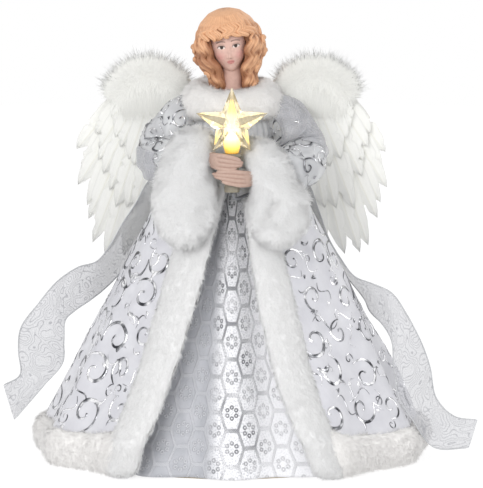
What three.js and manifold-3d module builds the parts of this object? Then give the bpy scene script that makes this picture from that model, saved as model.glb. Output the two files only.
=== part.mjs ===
// Lighted angel tree topper of the 12 in class. Millimetres, front is -Y, up is +Z.
import * as THREE from "three";
import { mergeVertices } from "three/addons/utils/BufferGeometryUtils.js";
import Module from "manifold-3d";

const wasm = await Module();
wasm.setup();

const { clamp, degToRad, lerp } = THREE.MathUtils;

// Clearances
const SEAT_GAP = 0.3; // between pieces that rest on each other
const TURN_GAP = 0.35; // round a wing wire in its tube
const SLIDE_GAP = 0.35; // round the battery door and the switch knob

// Card cone that goes over the tree's top shoot
const CONE_HEIGHT = 186;
const CONE_BASE_RADIUS = 104;
const CONE_TOP_RADIUS = 26;
const CONE_WALL = 1.6;

// Foam torso, heights above the cone's top
const WAIST_RISE = 14;
const CHEST_RISE = 34;
const SHOULDER_RISE = 50;
const WAIST_HALF_WIDTH = 25;
const WAIST_HALF_DEPTH = 22;
const CHEST_HALF_WIDTH = 29;
const CHEST_HALF_DEPTH = 20;
const SHOULDER_HALF_WIDTH = 24;
const SHOULDER_HALF_DEPTH = 14;
const SPIGOT_LENGTH = 12;
const LEAD_BORE_RADIUS = 6;
const BODICE_CLOTH = 1.2;

// Robe of stiff satin
const ROBE_HEM_RADIUS = 124;
const ROBE_HIP_RADIUS = 47;
const ROBE_HIP_DROP = 6; // below the cone's top
const ROBE_TOP_RISE = 15; // above the cone's top
const ROBE_CLOTH = 1.2;
const ROBE_FOLDS = 11;
const ROBE_FOLD_DEPTH = 3.4;
const SIDE_SEAM_ANGLE = 100;

// Fur edging, plain fat tubes
const HEM_FUR_HEIGHT = 26;
const HEM_FUR_DEPTH = 17;
const TRIM_WIDTH = 28;
const TRIM_TOP_WIDTH = 14;
const TRIM_DEPTH = 14;
const LEFT_EDGE_ANGLE = 27.2;
const RIGHT_EDGE_ANGLE = 21.4;
const LEFT_EDGE_FLARE = 9;
const RIGHT_EDGE_FLARE = 10.5;
const COLLAR_HALF_WIDTH = 26;
const COLLAR_HALF_DEPTH = 18;
const COLLAR_RISE = 57;
const COLLAR_HEIGHT = 25;
const COLLAR_THICKNESS = 17;

// Brocade underskirt
const SKIRT_CLOTH = 1;
const SKIRT_HEM_RISE = 3;
const SKIRT_PLEATS = 12;
const SKIRT_PLEAT_SHARE = 0.45; // of the room between cone and robe

// Arms on one bent wire
const ARM_RISE = 45;
const ARM_WIRE_RADIUS = 1.2;
const ARM_BORE_RADIUS = 6.5;
const SHOULDER_OUT = 30;
const ELBOW_OUT = 46.5;
const ELBOW_FORWARD = 9;
const ELBOW_RISE = 19;
const WRIST_OUT = 25;
const WRIST_FORWARD = 54;
const SLEEVE_RADIUS = 17;
const CUFF_HALF_WIDTH = 19.5;
const CUFF_HALF_DEPTH = 15;
const CUFF_BELOW_HANDS = 47;
const LEFT_CUFF_ABOVE_HANDS = 29;
const RIGHT_CUFF_ABOVE_HANDS = 22;

// Hands and lamp
const HAND_RISE = 13;
const HAND_SPACING = 11.8;
const FINGER_RADIUS = 1.35;
const FINGER_PITCH = 2.7;
const LAMP_FORWARD = 66;
const SOCKET_RADIUS = 5;
const SOCKET_BELOW_HANDS = 12;
const SOCKET_ABOVE_HANDS = 14;
const BULB_RADIUS = 5.9;
const BULB_LENGTH = 36;
const BULB_NECK_RADIUS = 3.4;
const BULB_NECK_LENGTH = 9;
const STAR_RADIUS = 25;
const STAR_NOTCH_RADIUS = 11;
const STAR_HALF_DEPTH = 8.4;
const STAR_RIM = 1.4;
const STAR_LOWER_SHARE = 0.84; // length of the two lower points beside the others
const STAR_RISE = 18.8; // star centre above the bulb's base
const LEAD_RADIUS = 1.2;

// Moulded head
const HEAD_RISE = 95.8;
const HEAD_FORWARD = 5;
const HEAD_ASIDE = 2.5; // toward the left
const HEAD_HALF_WIDTH = 12.6;
const HEAD_HALF_DEPTH = 14.5;
const HEAD_HALF_HEIGHT = 20;
const HEAD_ROLL = 8;
const HEAD_PITCH = 7;
const NECK_RADIUS = 7.2;
const HAIR_HALF_WIDTH = 23.5;
const HAIR_HALF_DEPTH = 19;

// Feather wings, laid out flat in a plane that leans on the robe's back
const WING_REACH = 72;
const WING_ROOT_OUT = 9;
const WING_ROOT_RISE = 42;
const WING_ROOT_BACK = 37;
const WING_LEAN = 17.7;
const WING_WIRE_RADIUS = 1;
const WING_SHANK = 34;
const WING_CARD = 1.2;
const WING_CARD_WIDTH = 11;
const FEATHER_LENGTH = 147;
const FEATHER_WIDTH = 17.5;
const FEATHER_THICKNESS = 0.35;
const FEATHER_TILT = 0.8;
const FEATHER_ROW_DEPTH = 2.3;
const FEATHER_TAPE_WIDTH = 6;
const MARABOU_HALF_WIDTH = 11.5;
const MARABOU_DEPTH = 7.5;
const KNUCKLE_RADIUS = 3.4;
const KNUCKLE_LENGTH = 20;
const BRACKET_WIDTH = 22;
const BRACKET_PLATE = 3;

// Sheer wired ribbon
const RIBBON_CLOTH = 0.5;

// Battery case for two AA cells, inside the cone's back
const CELL_RADIUS = 7.25;
const CELL_LENGTH = 49.2;
const CELL_NUB_RADIUS = 2.75;
const CELL_NUB_LENGTH = 1.3;
const CASE_WALL = 1.6;
const CASE_DEPTH = 18.6;
const CASE_CENTRE_HEIGHT = 84;
const CASE_STANDOFF = 4.6;
const SWITCH_BAY = 9;
const CONTACT_PLATE = 0.5;
const CONTACT_SPRING = 5.4;
const SPRING_WIRE_RADIUS = 0.4;
const SPRING_COIL_RADIUS = 3.2;
const DOOR_PLATE = 1.8;
const RAIL_WIDTH = 1.6;
const RAIL_THICKNESS = 1.4;
const KNOB_TRAVEL = 4;

// Heights and places that follow from them
const TORSO_BASE_Z = CONE_HEIGHT + SEAT_GAP;
const SHOULDER_Z = CONE_HEIGHT + SHOULDER_RISE;
const ARM_Z = CONE_HEIGHT + ARM_RISE;
const HAND_Z = CONE_HEIGHT + HAND_RISE;
const BULB_Z = HAND_Z + SOCKET_ABOVE_HANDS;
const ROBE_HEM_Z = HEM_FUR_HEIGHT + 3 * SEAT_GAP;
const ROBE_HIP_Z = CONE_HEIGHT - ROBE_HIP_DROP;
const ROBE_TOP_Z = CONE_HEIGHT + ROBE_TOP_RISE;
const LAMP_Y = -LAMP_FORWARD;

const vec = (x, y, z) => new THREE.Vector3(x, y, z);

// Closed surface from points and triangles, turned to face outward
function closed(points, triangles) {
  const positions = new Float32Array(points.length * 3);
  points.forEach((p, i) => positions.set([p.x, p.y, p.z], 3 * i));
  let volume = 0;
  for (let i = 0; i < triangles.length; i += 3) {
    const [a, b, c] = [points[triangles[i]], points[triangles[i + 1]], points[triangles[i + 2]]];
    volume += a.dot(b.clone().cross(c));
  }
  const index = volume < 0 ? triangles.slice().reverse() : triangles;
  const geometry = new THREE.BufferGeometry();
  geometry.setAttribute("position", new THREE.BufferAttribute(positions, 3));
  geometry.setIndex(index);
  return geometry;
}

// Skin through a row of rings, with end caps unless it closes on itself
function loft(rings, looped = false) {
  const sides = rings[0].length;
  const points = rings.flat();
  const triangles = [];
  const spans = looped ? rings.length : rings.length - 1;
  for (let r = 0; r < spans; r++) {
    const next = (r + 1) % rings.length;
    for (let s = 0; s < sides; s++) {
      const t = (s + 1) % sides;
      const [a, b, c, d] = [r * sides + s, r * sides + t, next * sides + t, next * sides + s];
      triangles.push(a, b, c, a, c, d);
    }
  }
  if (!looped) {
    [0, rings.length - 1].forEach((r, end) => {
      const middle = vec(0, 0, 0);
      rings[r].forEach((p) => middle.addScaledVector(p, 1 / sides));
      points.push(middle);
      for (let s = 0; s < sides; s++) {
        const t = (s + 1) % sides;
        const pair = end ? [r * sides + s, r * sides + t] : [r * sides + t, r * sides + s];
        triangles.push(points.length - 1, ...pair);
      }
    });
  }
  return closed(points, triangles);
}

// Thin shell between two surfaces over the same grid
function shell(across, along, wrapped, outer, inner) {
  const columns = wrapped ? across : across + 1;
  const points = [];
  for (const surface of [outer, inner]) {
    for (let j = 0; j <= along; j++) {
      for (let i = 0; i < columns; i++) points.push(surface(i / across, j / along));
    }
  }
  const half = points.length / 2;
  const at = (i, j) => j * columns + (i % columns);
  const triangles = [];
  const quad = (a, b, c, d) => triangles.push(a, b, c, a, c, d);
  for (let i = 0; i < across; i++) {
    for (let j = 0; j < along; j++) {
      quad(at(i, j), at(i + 1, j), at(i + 1, j + 1), at(i, j + 1));
      quad(half + at(i, j), half + at(i, j + 1), half + at(i + 1, j + 1), half + at(i + 1, j));
    }
    quad(at(i + 1, 0), at(i, 0), half + at(i, 0), half + at(i + 1, 0));
    quad(at(i, along), at(i + 1, along), half + at(i + 1, along), half + at(i, along));
  }
  for (let j = 0; j < along && !wrapped; j++) {
    quad(at(0, j), at(0, j + 1), half + at(0, j + 1), half + at(0, j));
    quad(at(across, j + 1), at(across, j), half + at(across, j), half + at(across, j + 1));
  }
  return closed(points, triangles);
}

// Cloth of even thickness on both sides of a surface
function cloth(across, along, thickness, surface) {
  const side = (sign) => (u, v) => {
    const step = 1e-3;
    const p = surface(u, v);
    const du = surface(Math.min(u + step, 1), v).sub(surface(Math.max(u - step, 0), v));
    const dv = surface(u, Math.min(v + step, 1)).sub(surface(u, Math.max(v - step, 0)));
    return p.addScaledVector(du.cross(dv).normalize(), (sign * thickness) / 2);
  };
  return shell(across, along, false, side(1), side(-1));
}

// Oval ring lying level
function ring(z, halfWidth, halfDepth, sides, x = 0, y = 0) {
  return Array.from({ length: sides }, (_, s) => {
    const a = (2 * Math.PI * s) / sides;
    return vec(x + halfWidth * Math.cos(a), y + halfDepth * Math.sin(a), z);
  });
}

// Ring square to a path, built from the path's direction
function ringOn(point, tangent, radius, sides) {
  const level = Math.abs(tangent.z) > 0.95 ? vec(1, 0, 0) : vec(0, 0, 1);
  const side = tangent.clone().cross(level).normalize();
  const up = side.clone().cross(tangent).normalize();
  return Array.from({ length: sides }, (_, s) => {
    const a = (2 * Math.PI * s) / sides;
    const p = point.clone().addScaledVector(side, radius * Math.cos(a));
    return p.addScaledVector(up, radius * Math.sin(a));
  });
}

// Round tube whose radius changes along a curve
function taperedTube(curve, steps, sides, radiusAt, from = 0, to = 1) {
  const rings = [];
  for (let i = 0; i <= steps; i++) {
    const s = lerp(from, to, i / steps);
    rings.push(ringOn(curve.getPointAt(s), curve.getTangentAt(s), radiusAt(i / steps), sides));
  }
  return loft(rings);
}

// Wire or lead of one radius along a curve
function wireTube(curve, steps, sides, radius) {
  const section = new THREE.Shape(
    Array.from({ length: sides }, (_, s) => {
      const a = (2 * Math.PI * s) / sides;
      return new THREE.Vector2(radius * Math.cos(a), radius * Math.sin(a));
    }),
  );
  return new THREE.ExtrudeGeometry(section, { steps, bevelEnabled: false, extrudePath: curve });
}

// Turned shape about the vertical through a point
function turned(profile, segments, x = 0, y = 0, z = 0) {
  const points = profile.map(([r, h]) => new THREE.Vector2(r, h));
  const geometry = new THREE.LatheGeometry(points, segments);
  return geometry.rotateX(Math.PI / 2).translate(x, y, z);
}

const boxAt = (w, d, h, x, y, z) => new THREE.BoxGeometry(w, d, h).translate(x, y, z);

const stationAt = (stations, at) => {
  let i = 1;
  while (i < stations.length - 1 && at > stations[i][0]) i++;
  const [low, ...a] = stations[i - 1];
  const [high, ...b] = stations[i];
  const t = clamp((at - low) / (high - low), 0, 1);
  return a.map((value, k) => lerp(value, b[k], t));
};

function solidOf(geometry) {
  const bare = geometry.clone();
  for (const name of ["normal", "uv"]) bare.deleteAttribute(name);
  const merged = mergeVertices(bare, 1e-3);
  const corners = merged.index.array;
  const kept = [];
  for (let i = 0; i < corners.length; i += 3) {
    const [a, b, c] = [corners[i], corners[i + 1], corners[i + 2]];
    if (a !== b && b !== c && a !== c) kept.push(a, b, c);
  }
  return new wasm.Manifold(
    new wasm.Mesh({
      numProp: 3,
      vertProperties: merged.attributes.position.array,
      triVerts: new Uint32Array(kept),
    }),
  );
}

function geometryOf(solid) {
  const mesh = solid.getMesh();
  const geometry = new THREE.BufferGeometry();
  geometry.setAttribute("position", new THREE.BufferAttribute(mesh.vertProperties, 3));
  geometry.setIndex(new THREE.BufferAttribute(mesh.triVerts, 1));
  return geometry;
}

const join = (geometries) => geometries.map(solidOf).reduce((whole, next) => whole.add(next));
const cut = (whole, ...tools) =>
  tools.reduce((left, tool) => left.subtract(tool.isBufferGeometry ? solidOf(tool) : tool), whole);

// Group that every piece goes into
const topper = new THREE.Group();
topper.name = "angel_tree_topper";

function add(name, shape, colour, parent = topper) {
  const geometry = shape.isBufferGeometry ? shape : geometryOf(shape);
  const flat = geometry.index ? geometry.toNonIndexed() : geometry.clone();
  flat.computeVertexNormals();
  const material = new THREE.MeshStandardMaterial({ color: colour, roughness: 0.7 });
  const mesh = new THREE.Mesh(flat, material);
  mesh.name = name;
  parent.add(mesh);
}

// Cone
const coneOuter = (z) => lerp(CONE_BASE_RADIUS, CONE_TOP_RADIUS, z / CONE_HEIGHT);

function coneShape() {
  const top = CONE_TOP_RADIUS - CONE_WALL;
  const base = CONE_BASE_RADIUS - CONE_WALL;
  const profile = [
    [base, 0],
    [CONE_BASE_RADIUS, 0],
    [CONE_TOP_RADIUS, CONE_HEIGHT],
    [top, CONE_HEIGHT],
    [base, 0],
  ];
  return turned(profile, 56);
}

function coneInside(shrink) {
  const base = CONE_BASE_RADIUS - CONE_WALL - shrink;
  const top = CONE_TOP_RADIUS - CONE_WALL - shrink;
  return turned([[0, 0], [base, 0], [top, CONE_HEIGHT], [0, CONE_HEIGHT]], 56);
}

// Torso and bodice share one outline
const TORSO_STATIONS = [
  [0, CONE_TOP_RADIUS, CONE_TOP_RADIUS],
  [WAIST_RISE, WAIST_HALF_WIDTH, WAIST_HALF_DEPTH],
  [CHEST_RISE, CHEST_HALF_WIDTH, CHEST_HALF_DEPTH],
  [SHOULDER_RISE, SHOULDER_HALF_WIDTH, SHOULDER_HALF_DEPTH],
];
const torsoHalf = (z) => stationAt(TORSO_STATIONS, z - CONE_HEIGHT);

function torsoBody(grow, from, to) {
  const rings = [];
  const levels = TORSO_STATIONS.map(([rise]) => CONE_HEIGHT + rise).slice(1, -1);
  for (const z of [from, ...levels, to]) {
    const [w, d] = torsoHalf(z);
    rings.push(ring(z, w + grow, d + grow, 20));
  }
  return loft(rings);
}

const bodiceOuter = SEAT_GAP + BODICE_CLOTH;

// Arm wire runs from hand to hand through the torso
const handZ = (side) => HAND_Z - (side * HAND_SPACING) / 2;
const armPoint = (side) => [
  vec(side * 11, LAMP_Y + 1, handZ(side)),
  vec(side * WRIST_OUT, -WRIST_FORWARD, handZ(side)),
  vec(side * ELBOW_OUT, -ELBOW_FORWARD, CONE_HEIGHT + ELBOW_RISE),
  vec(side * SHOULDER_OUT, 1, ARM_Z),
];
const armPath = new THREE.CatmullRomCurve3([
  ...armPoint(-1),
  vec(0, 1, ARM_Z),
  ...armPoint(1).reverse(),
]);

const armBore = (from, to) => taperedTube(armPath, 12, 6, () => ARM_BORE_RADIUS, from, to);

function torsoForm() {
  const spigot = CONE_TOP_RADIUS - CONE_WALL - SEAT_GAP;
  const length = SPIGOT_LENGTH + 1;
  const plug = new THREE.CylinderGeometry(spigot, spigot, length, 20).rotateX(Math.PI / 2);
  plug.translate(0, 0, CONE_HEIGHT - SPIGOT_LENGTH + length / 2);
  const tall = ARM_Z - CONE_HEIGHT + SPIGOT_LENGTH + 2;
  const bore = new THREE.CylinderGeometry(LEAD_BORE_RADIUS, LEAD_BORE_RADIUS, tall, 8);
  bore.rotateX(Math.PI / 2).translate(0, 1, ARM_Z - tall / 2);
  const body = join([torsoBody(0, TORSO_BASE_Z, SHOULDER_Z), plug]);
  return cut(body, bore, armBore(0.33, 0.67));
}

function bodice() {
  const low = TORSO_BASE_Z + 1;
  const outer = solidOf(torsoBody(bodiceOuter, low, SHOULDER_Z));
  return cut(outer, torsoBody(SEAT_GAP, low - 2, SHOULDER_Z + 2), armBore(0.33, 0.67));
}

// Robe outline, its angle counted from the front toward +X
function robeHalf(z) {
  if (z <= ROBE_HIP_Z) {
    const t = Math.max(0, (z - ROBE_HEM_Z) / (ROBE_HIP_Z - ROBE_HEM_Z));
    const r = lerp(ROBE_HEM_RADIUS, ROBE_HIP_RADIUS, t);
    return [r, r];
  }
  const t = (z - ROBE_HIP_Z) / (ROBE_TOP_Z - ROBE_HIP_Z);
  return torsoHalf(ROBE_TOP_Z).map((half) => lerp(ROBE_HIP_RADIUS, half + bodiceOuter + SEAT_GAP, t));
}

function robePoint(angle, z, out = 0) {
  const [w, d] = robeHalf(z);
  const rise = clamp((z - ROBE_HEM_Z) / (ROBE_TOP_Z - ROBE_HEM_Z), 0, 1);
  const wave = ROBE_FOLD_DEPTH * (1 - rise) ** 2 * Math.cos(ROBE_FOLDS * angle);
  return vec((w + wave + out) * Math.sin(angle), -(d + wave + out) * Math.cos(angle), z);
}

const trimHalf = (z) => {
  const t = clamp((z / ROBE_TOP_Z - 0.55) / 0.45, 0, 1);
  return lerp(TRIM_WIDTH, TRIM_TOP_WIDTH, t) / 2;
};

const edgeAngle = (side, z) => {
  const low = Math.pow(1 - clamp(z, 0, ROBE_TOP_Z) / ROBE_TOP_Z, 4);
  const angle = side < 0 ? LEFT_EDGE_ANGLE : RIGHT_EDGE_ANGLE;
  const flare = side < 0 ? LEFT_EDGE_FLARE : RIGHT_EDGE_FLARE;
  return side * degToRad(angle + flare * low);
};

// Angle at which a panel or the hem starts beside its front trim
const besideTrim = (side, z) => {
  const place = robePoint(edgeAngle(side, z), z);
  const reach = (trimHalf(z) + SEAT_GAP) / Math.hypot(place.x, place.y);
  return edgeAngle(side, z) + side * reach;
};

function robePanel(startAt, endAt, columns, rows) {
  const skin = (out) => (u, v) => {
    const z = v <= 2 / 3 ? lerp(ROBE_HEM_Z, ROBE_HIP_Z, 1.5 * v) : lerp(ROBE_HIP_Z, ROBE_TOP_Z, 3 * v - 2);
    return robePoint(lerp(startAt(z), endAt(z), u), z, out);
  };
  return shell(columns, rows, false, skin(ROBE_CLOTH), skin(0));
}

const seamAt = (side, share) => (z) => {
  const half = Math.min(...robeHalf(z));
  return side * (degToRad(SIDE_SEAM_ANGLE) + (share * SEAT_GAP) / half);
};

const robeFront = (side) =>
  robePanel((z) => besideTrim(side, z), seamAt(side, -0.5), 8, 6);
const robeBack = () =>
  robePanel(seamAt(1, 0.5), (z) => 2 * Math.PI + seamAt(-1, 0.5)(z), 22, 6);

// Solid that fills the robe, for clearing what lies on it
function robeEnvelope(grow) {
  const rings = [];
  const middle = lerp(ROBE_HEM_Z, ROBE_HIP_Z, 0.5);
  for (const z of [ROBE_HEM_Z, middle, ROBE_HIP_Z, ROBE_TOP_Z]) {
    const [w, d] = robeHalf(z);
    const rise = (z - ROBE_HEM_Z) / (ROBE_TOP_Z - ROBE_HEM_Z);
    const out = ROBE_FOLD_DEPTH * (1 - rise) ** 2 + ROBE_CLOTH + grow;
    rings.push(ring(z, w + out, d + out, 36));
  }
  return loft(rings);
}

function frontTrim(side, grow = 0) {
  const rings = [];
  for (let j = 0; j <= 11; j++) {
    const z = lerp(SEAT_GAP, ROBE_TOP_Z, j / 11);
    const angle = edgeAngle(side, z);
    const middle = robePoint(angle, Math.max(z, ROBE_HEM_Z), ROBE_CLOTH / 2).setZ(z);
    const depth = (TRIM_DEPTH / 2) * lerp(1.15, 0.8, j / 11) * (j === 0 ? 0.75 : 1) + grow;
    const width = trimHalf(z) * (j === 0 ? 0.85 : 1) + grow;
    rings.push(
      Array.from({ length: 10 }, (_, s) => {
        const a = (2 * Math.PI * s) / 10;
        const p = middle.clone();
        p.x += width * Math.cos(a) * Math.cos(angle) + depth * Math.sin(a) * Math.sin(angle);
        p.y += width * Math.cos(a) * Math.sin(angle) - depth * Math.sin(a) * Math.cos(angle);
        return p;
      }),
    );
  }
  const body = torsoBody(bodiceOuter + SEAT_GAP - grow, TORSO_BASE_Z, SHOULDER_Z);
  return cut(solidOf(loft(rings)), body);
}

function hemFur() {
  const rings = [];
  for (let i = 0; i <= 44; i++) {
    rings.push(
      Array.from({ length: 8 }, (_, s) => {
        const a = (2 * Math.PI * s) / 8;
        const out = (HEM_FUR_DEPTH / 2) * Math.cos(a);
        const z = SEAT_GAP + (HEM_FUR_HEIGHT / 2) * (1 + Math.sin(a));
        const angle = lerp(besideTrim(1, z), 2 * Math.PI + besideTrim(-1, z), i / 44);
        return robePoint(angle, ROBE_HEM_Z, ROBE_CLOTH / 2 + out).setZ(z);
      }),
    );
  }
  return loft(rings);
}

// Pleated underskirt on the cone
function underskirt() {
  const top = CONE_HEIGHT - 2;
  const skin = (out) => (u, v) => {
    const z = lerp(SKIRT_HEM_RISE, top, v);
    const a = 2 * Math.PI * u;
    const pleat = (1 + Math.cos(SKIRT_PLEATS * a)) / 2;
    const fold = SKIRT_PLEAT_SHARE * (ROBE_HEM_RADIUS - CONE_BASE_RADIUS) * (1 - 0.9 * v) * pleat;
    const r = coneOuter(z) + SEAT_GAP + out + fold;
    return vec(r * Math.sin(a), -r * Math.cos(a), z);
  };
  return shell(60, 4, true, skin(SKIRT_CLOTH), skin(0));
}

// Head, neck and shoulder casting
const headPlace = new THREE.Matrix4()
  .makeTranslation(-HEAD_ASIDE, -HEAD_FORWARD, CONE_HEIGHT + HEAD_RISE)
  .multiply(new THREE.Matrix4().makeRotationY(degToRad(-HEAD_ROLL)))
  .multiply(new THREE.Matrix4().makeRotationX(degToRad(HEAD_PITCH)));

// Low relief of the face: place across, place up, widths and height
const FACE_RELIEF = [
  [0, -7.2, 1.9, 2.4, 2.3],
  [0, -2.6, 1.6, 3.4, 0.9],
  [-4.9, -0.6, 2.6, 1.9, -1],
  [4.9, -0.6, 2.6, 1.9, -1],
  [0, -11.2, 2.8, 1.3, 0.9],
  [0, -16.4, 3.2, 2.6, 1.3],
];

function headShape(grow) {
  const rings = [];
  for (let j = 0; j <= 15; j++) {
    const rise = degToRad(lerp(-82, 82, j / 15));
    const level = Math.cos(rise);
    const z = Math.sin(rise);
    const jaw = Math.pow(Math.max(0, -z), 1.6);
    rings.push(
      Array.from({ length: 22 }, (_, s) => {
        const even = (2 * Math.PI * s) / 22;
        const a = even - 0.5 * Math.sin(even);
        const back = Math.max(0, -Math.cos(a));
        const x = HEAD_HALF_WIDTH * level * Math.sin(a) * (1 - 0.3 * jaw);
        let y = -HEAD_HALF_DEPTH * level * Math.cos(a) * (1 - 0.35 * jaw * back);
        const up = HEAD_HALF_HEIGHT * z;
        if (Math.cos(a) > 0) {
          for (const [px, pz, wx, wz, height] of FACE_RELIEF) {
            y -= height * Math.exp(-(((x - px) / wx) ** 2) - ((up - pz) / wz) ** 2);
          }
        }
        const p = vec(x, y, up);
        return p.multiplyScalar(1 + grow / p.length()).applyMatrix4(headPlace);
      }),
    );
  }
  return loft(rings);
}

const BUST_STATIONS = [
  [0, 22, 12.5, 0],
  [3, 21, 12, 0],
  [7, 15, 10.5, 0],
  [11, NECK_RADIUS + 2, NECK_RADIUS + 1, -1],
  [16, NECK_RADIUS, NECK_RADIUS, -2],
  [40, NECK_RADIUS - 0.6, NECK_RADIUS, -HEAD_FORWARD + 2],
];

function neckShape(grow) {
  const rings = BUST_STATIONS.map(([rise, w, d, y]) =>
    ring(SHOULDER_Z + SEAT_GAP + rise, w + grow, d + grow, 12, 0, y),
  );
  return loft(rings);
}

const bust = () => join([neckShape(0), headShape(0)]);

// Plain room for the casting inside hair and collar
function bustRoom() {
  const room = new THREE.SphereGeometry(1, 10, 7).rotateX(Math.PI / 2);
  room.scale(HEAD_HALF_WIDTH + 1.4, HEAD_HALF_DEPTH + 1.5, HEAD_HALF_HEIGHT + 1.3);
  room.applyMatrix4(headPlace);
  return join([neckShape(2 * SEAT_GAP), room]);
}

// Hair: one full bell of waves with a window for the face, heights from the head's middle
const HAIR_STATIONS = [
  [-36, 0.5, 0.42, 3],
  [-30, 0.62, 0.6, 2.5],
  [-20, 0.7, 0.78, 2.5],
  [-10, 0.95, 0.92, 2.5],
  [-2, 0.98, 1, 2.5],
  [8, 0.88, 0.97, 2.2],
  [15, 0.66, 0.8, 2],
  [20, 0.42, 0.55, 2],
  [22.5, 0.16, 0.22, 2],
];
// Half width of the window that the face and neck show through
const WINDOW_STATIONS = [
  [-44, 6.5],
  [-24, 7],
  [-12, 11.6],
  [-2, 12.4],
  [4, 10.6],
  [6.5, 4],
];

function hair() {
  const rings = HAIR_STATIONS.map(([z, wide, deep, y], j) =>
    ring(z, HAIR_HALF_WIDTH * wide, HAIR_HALF_DEPTH * deep, 20, 0, y).map((p, s) => {
      const curl = 1 + (j > 0 && j < 7 ? 0.05 * Math.cos(Math.PI * s + 1.7 * j) : 0);
      return vec(p.x * curl, y + (p.y - y) * curl, z);
    }),
  );
  const window = WINDOW_STATIONS.map(([z, wide]) => ring(z, wide, 15, 12, 0, -HEAD_HALF_DEPTH - 3.5));
  const mass = cut(solidOf(loft(rings)), loft(window));
  const placed = geometryOf(mass).applyMatrix4(headPlace);
  return cut(solidOf(placed), bustRoom(), collar(SEAT_GAP));
}

// Fur collar on the shoulders
function collar(grow = 0) {
  const rings = [];
  for (let i = 0; i < 18; i++) {
    const a = (2 * Math.PI * i) / 18;
    rings.push(
      Array.from({ length: 6 }, (_, s) => {
        const b = (2 * Math.PI * s) / 6;
        const up = (COLLAR_HEIGHT / 2 + grow) * Math.sin(b);
        const out = (COLLAR_THICKNESS / 2 + grow) * Math.cos(b) - 0.3 * up;
        return vec(
          (COLLAR_HALF_WIDTH + out) * Math.sin(a),
          -(COLLAR_HALF_DEPTH + out) * Math.cos(a),
          CONE_HEIGHT + COLLAR_RISE - 3 * Math.cos(a) + up,
        );
      }),
    );
  }
  return solidOf(loft(rings, true));
}

const furCollar = () =>
  cut(
    collar(),
    bustRoom(),
    armBore(0.3, 0.7),
    torsoBody(bodiceOuter + SEAT_GAP, TORSO_BASE_Z, SHOULDER_Z + SEAT_GAP),
  );

// Sleeves, cuffs and hands
const SLEEVE_STATIONS = [
  [0, 0.8],
  [0.25, 0.96],
  [0.55, 1.05],
  [0.8, 0.95],
  [1, 0.68],
];
const SLEEVE_FROM = 0.13;
const SLEEVE_TO = 0.41;

function sleeveSkin(side, grow = 0) {
  const radiusAt = (t) => {
    const crease = 0.7 * Math.sin(22 * t);
    return SLEEVE_RADIUS * stationAt(SLEEVE_STATIONS, t)[0] + crease + grow;
  };
  const at = (s) => (side < 0 ? s : 1 - s);
  return taperedTube(armPath, 10, 12, radiusAt, at(SLEEVE_FROM), at(SLEEVE_TO));
}

function sleeve(side) {
  const bore = side < 0 ? armBore(0.05, 0.5) : armBore(0.5, 0.95);
  return cut(
    solidOf(sleeveSkin(side)),
    bore,
    torsoBody(bodiceOuter + SEAT_GAP, TORSO_BASE_Z, SHOULDER_Z + SEAT_GAP),
    collar(SEAT_GAP),
    robeEnvelope(SEAT_GAP),
  );
}

// Cuffs from the top down: share of the drop, then middle and half width as shares of the full half width
const LEFT_CUFF = [
  [0, 1.23, 0.2],
  [0.05, 1.28, 0.56],
  [0.15, 1.38, 0.76],
  [0.3, 1.54, 0.9],
  [0.5, 1.64, 1],
  [0.7, 1.64, 1],
  [0.87, 1.62, 0.82],
  [0.96, 1.6, 0.5],
  [1, 1.6, 0.2],
];
const RIGHT_CUFF = [
  [0, 0.82, 0.2],
  [0.06, 0.9, 0.5],
  [0.17, 1.08, 0.7],
  [0.37, 1.38, 0.75],
  [0.56, 1.59, 0.95],
  [0.76, 1.59, 0.95],
  [0.9, 1.54, 0.77],
  [0.97, 1.52, 0.5],
  [1, 1.52, 0.2],
];

function cuff(side) {
  const high = HAND_Z + (side < 0 ? LEFT_CUFF_ABOVE_HANDS : RIGHT_CUFF_ABOVE_HANDS);
  const rings = (side < 0 ? LEFT_CUFF : RIGHT_CUFF).map(([t, out, size]) => {
    const z = lerp(high, HAND_Z - CUFF_BELOW_HANDS, t);
    const x = side * CUFF_HALF_WIDTH * out;
    const y = -WRIST_FORWARD + 6 - 27 * t;
    return ring(z, CUFF_HALF_WIDTH * size, CUFF_HALF_DEPTH * Math.min(1, 1.15 * size), 14, x, y);
  });
  return cut(
    solidOf(loft(rings)),
    sleeveSkin(side, SEAT_GAP),
    armBore(side < 0 ? 0.02 : 0.5, side < 0 ? 0.5 : 0.98),
    hand(side, SEAT_GAP),
    robeEnvelope(SEAT_GAP),
    frontTrim(-1, SEAT_GAP),
    frontTrim(1, SEAT_GAP),
    socketShape(2 * SEAT_GAP),
    leadShape(SEAT_GAP),
  );
}

const roundLamp = (angle, reach, z) =>
  vec(reach * Math.sin(angle), LAMP_Y - reach * Math.cos(angle), z);

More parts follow.
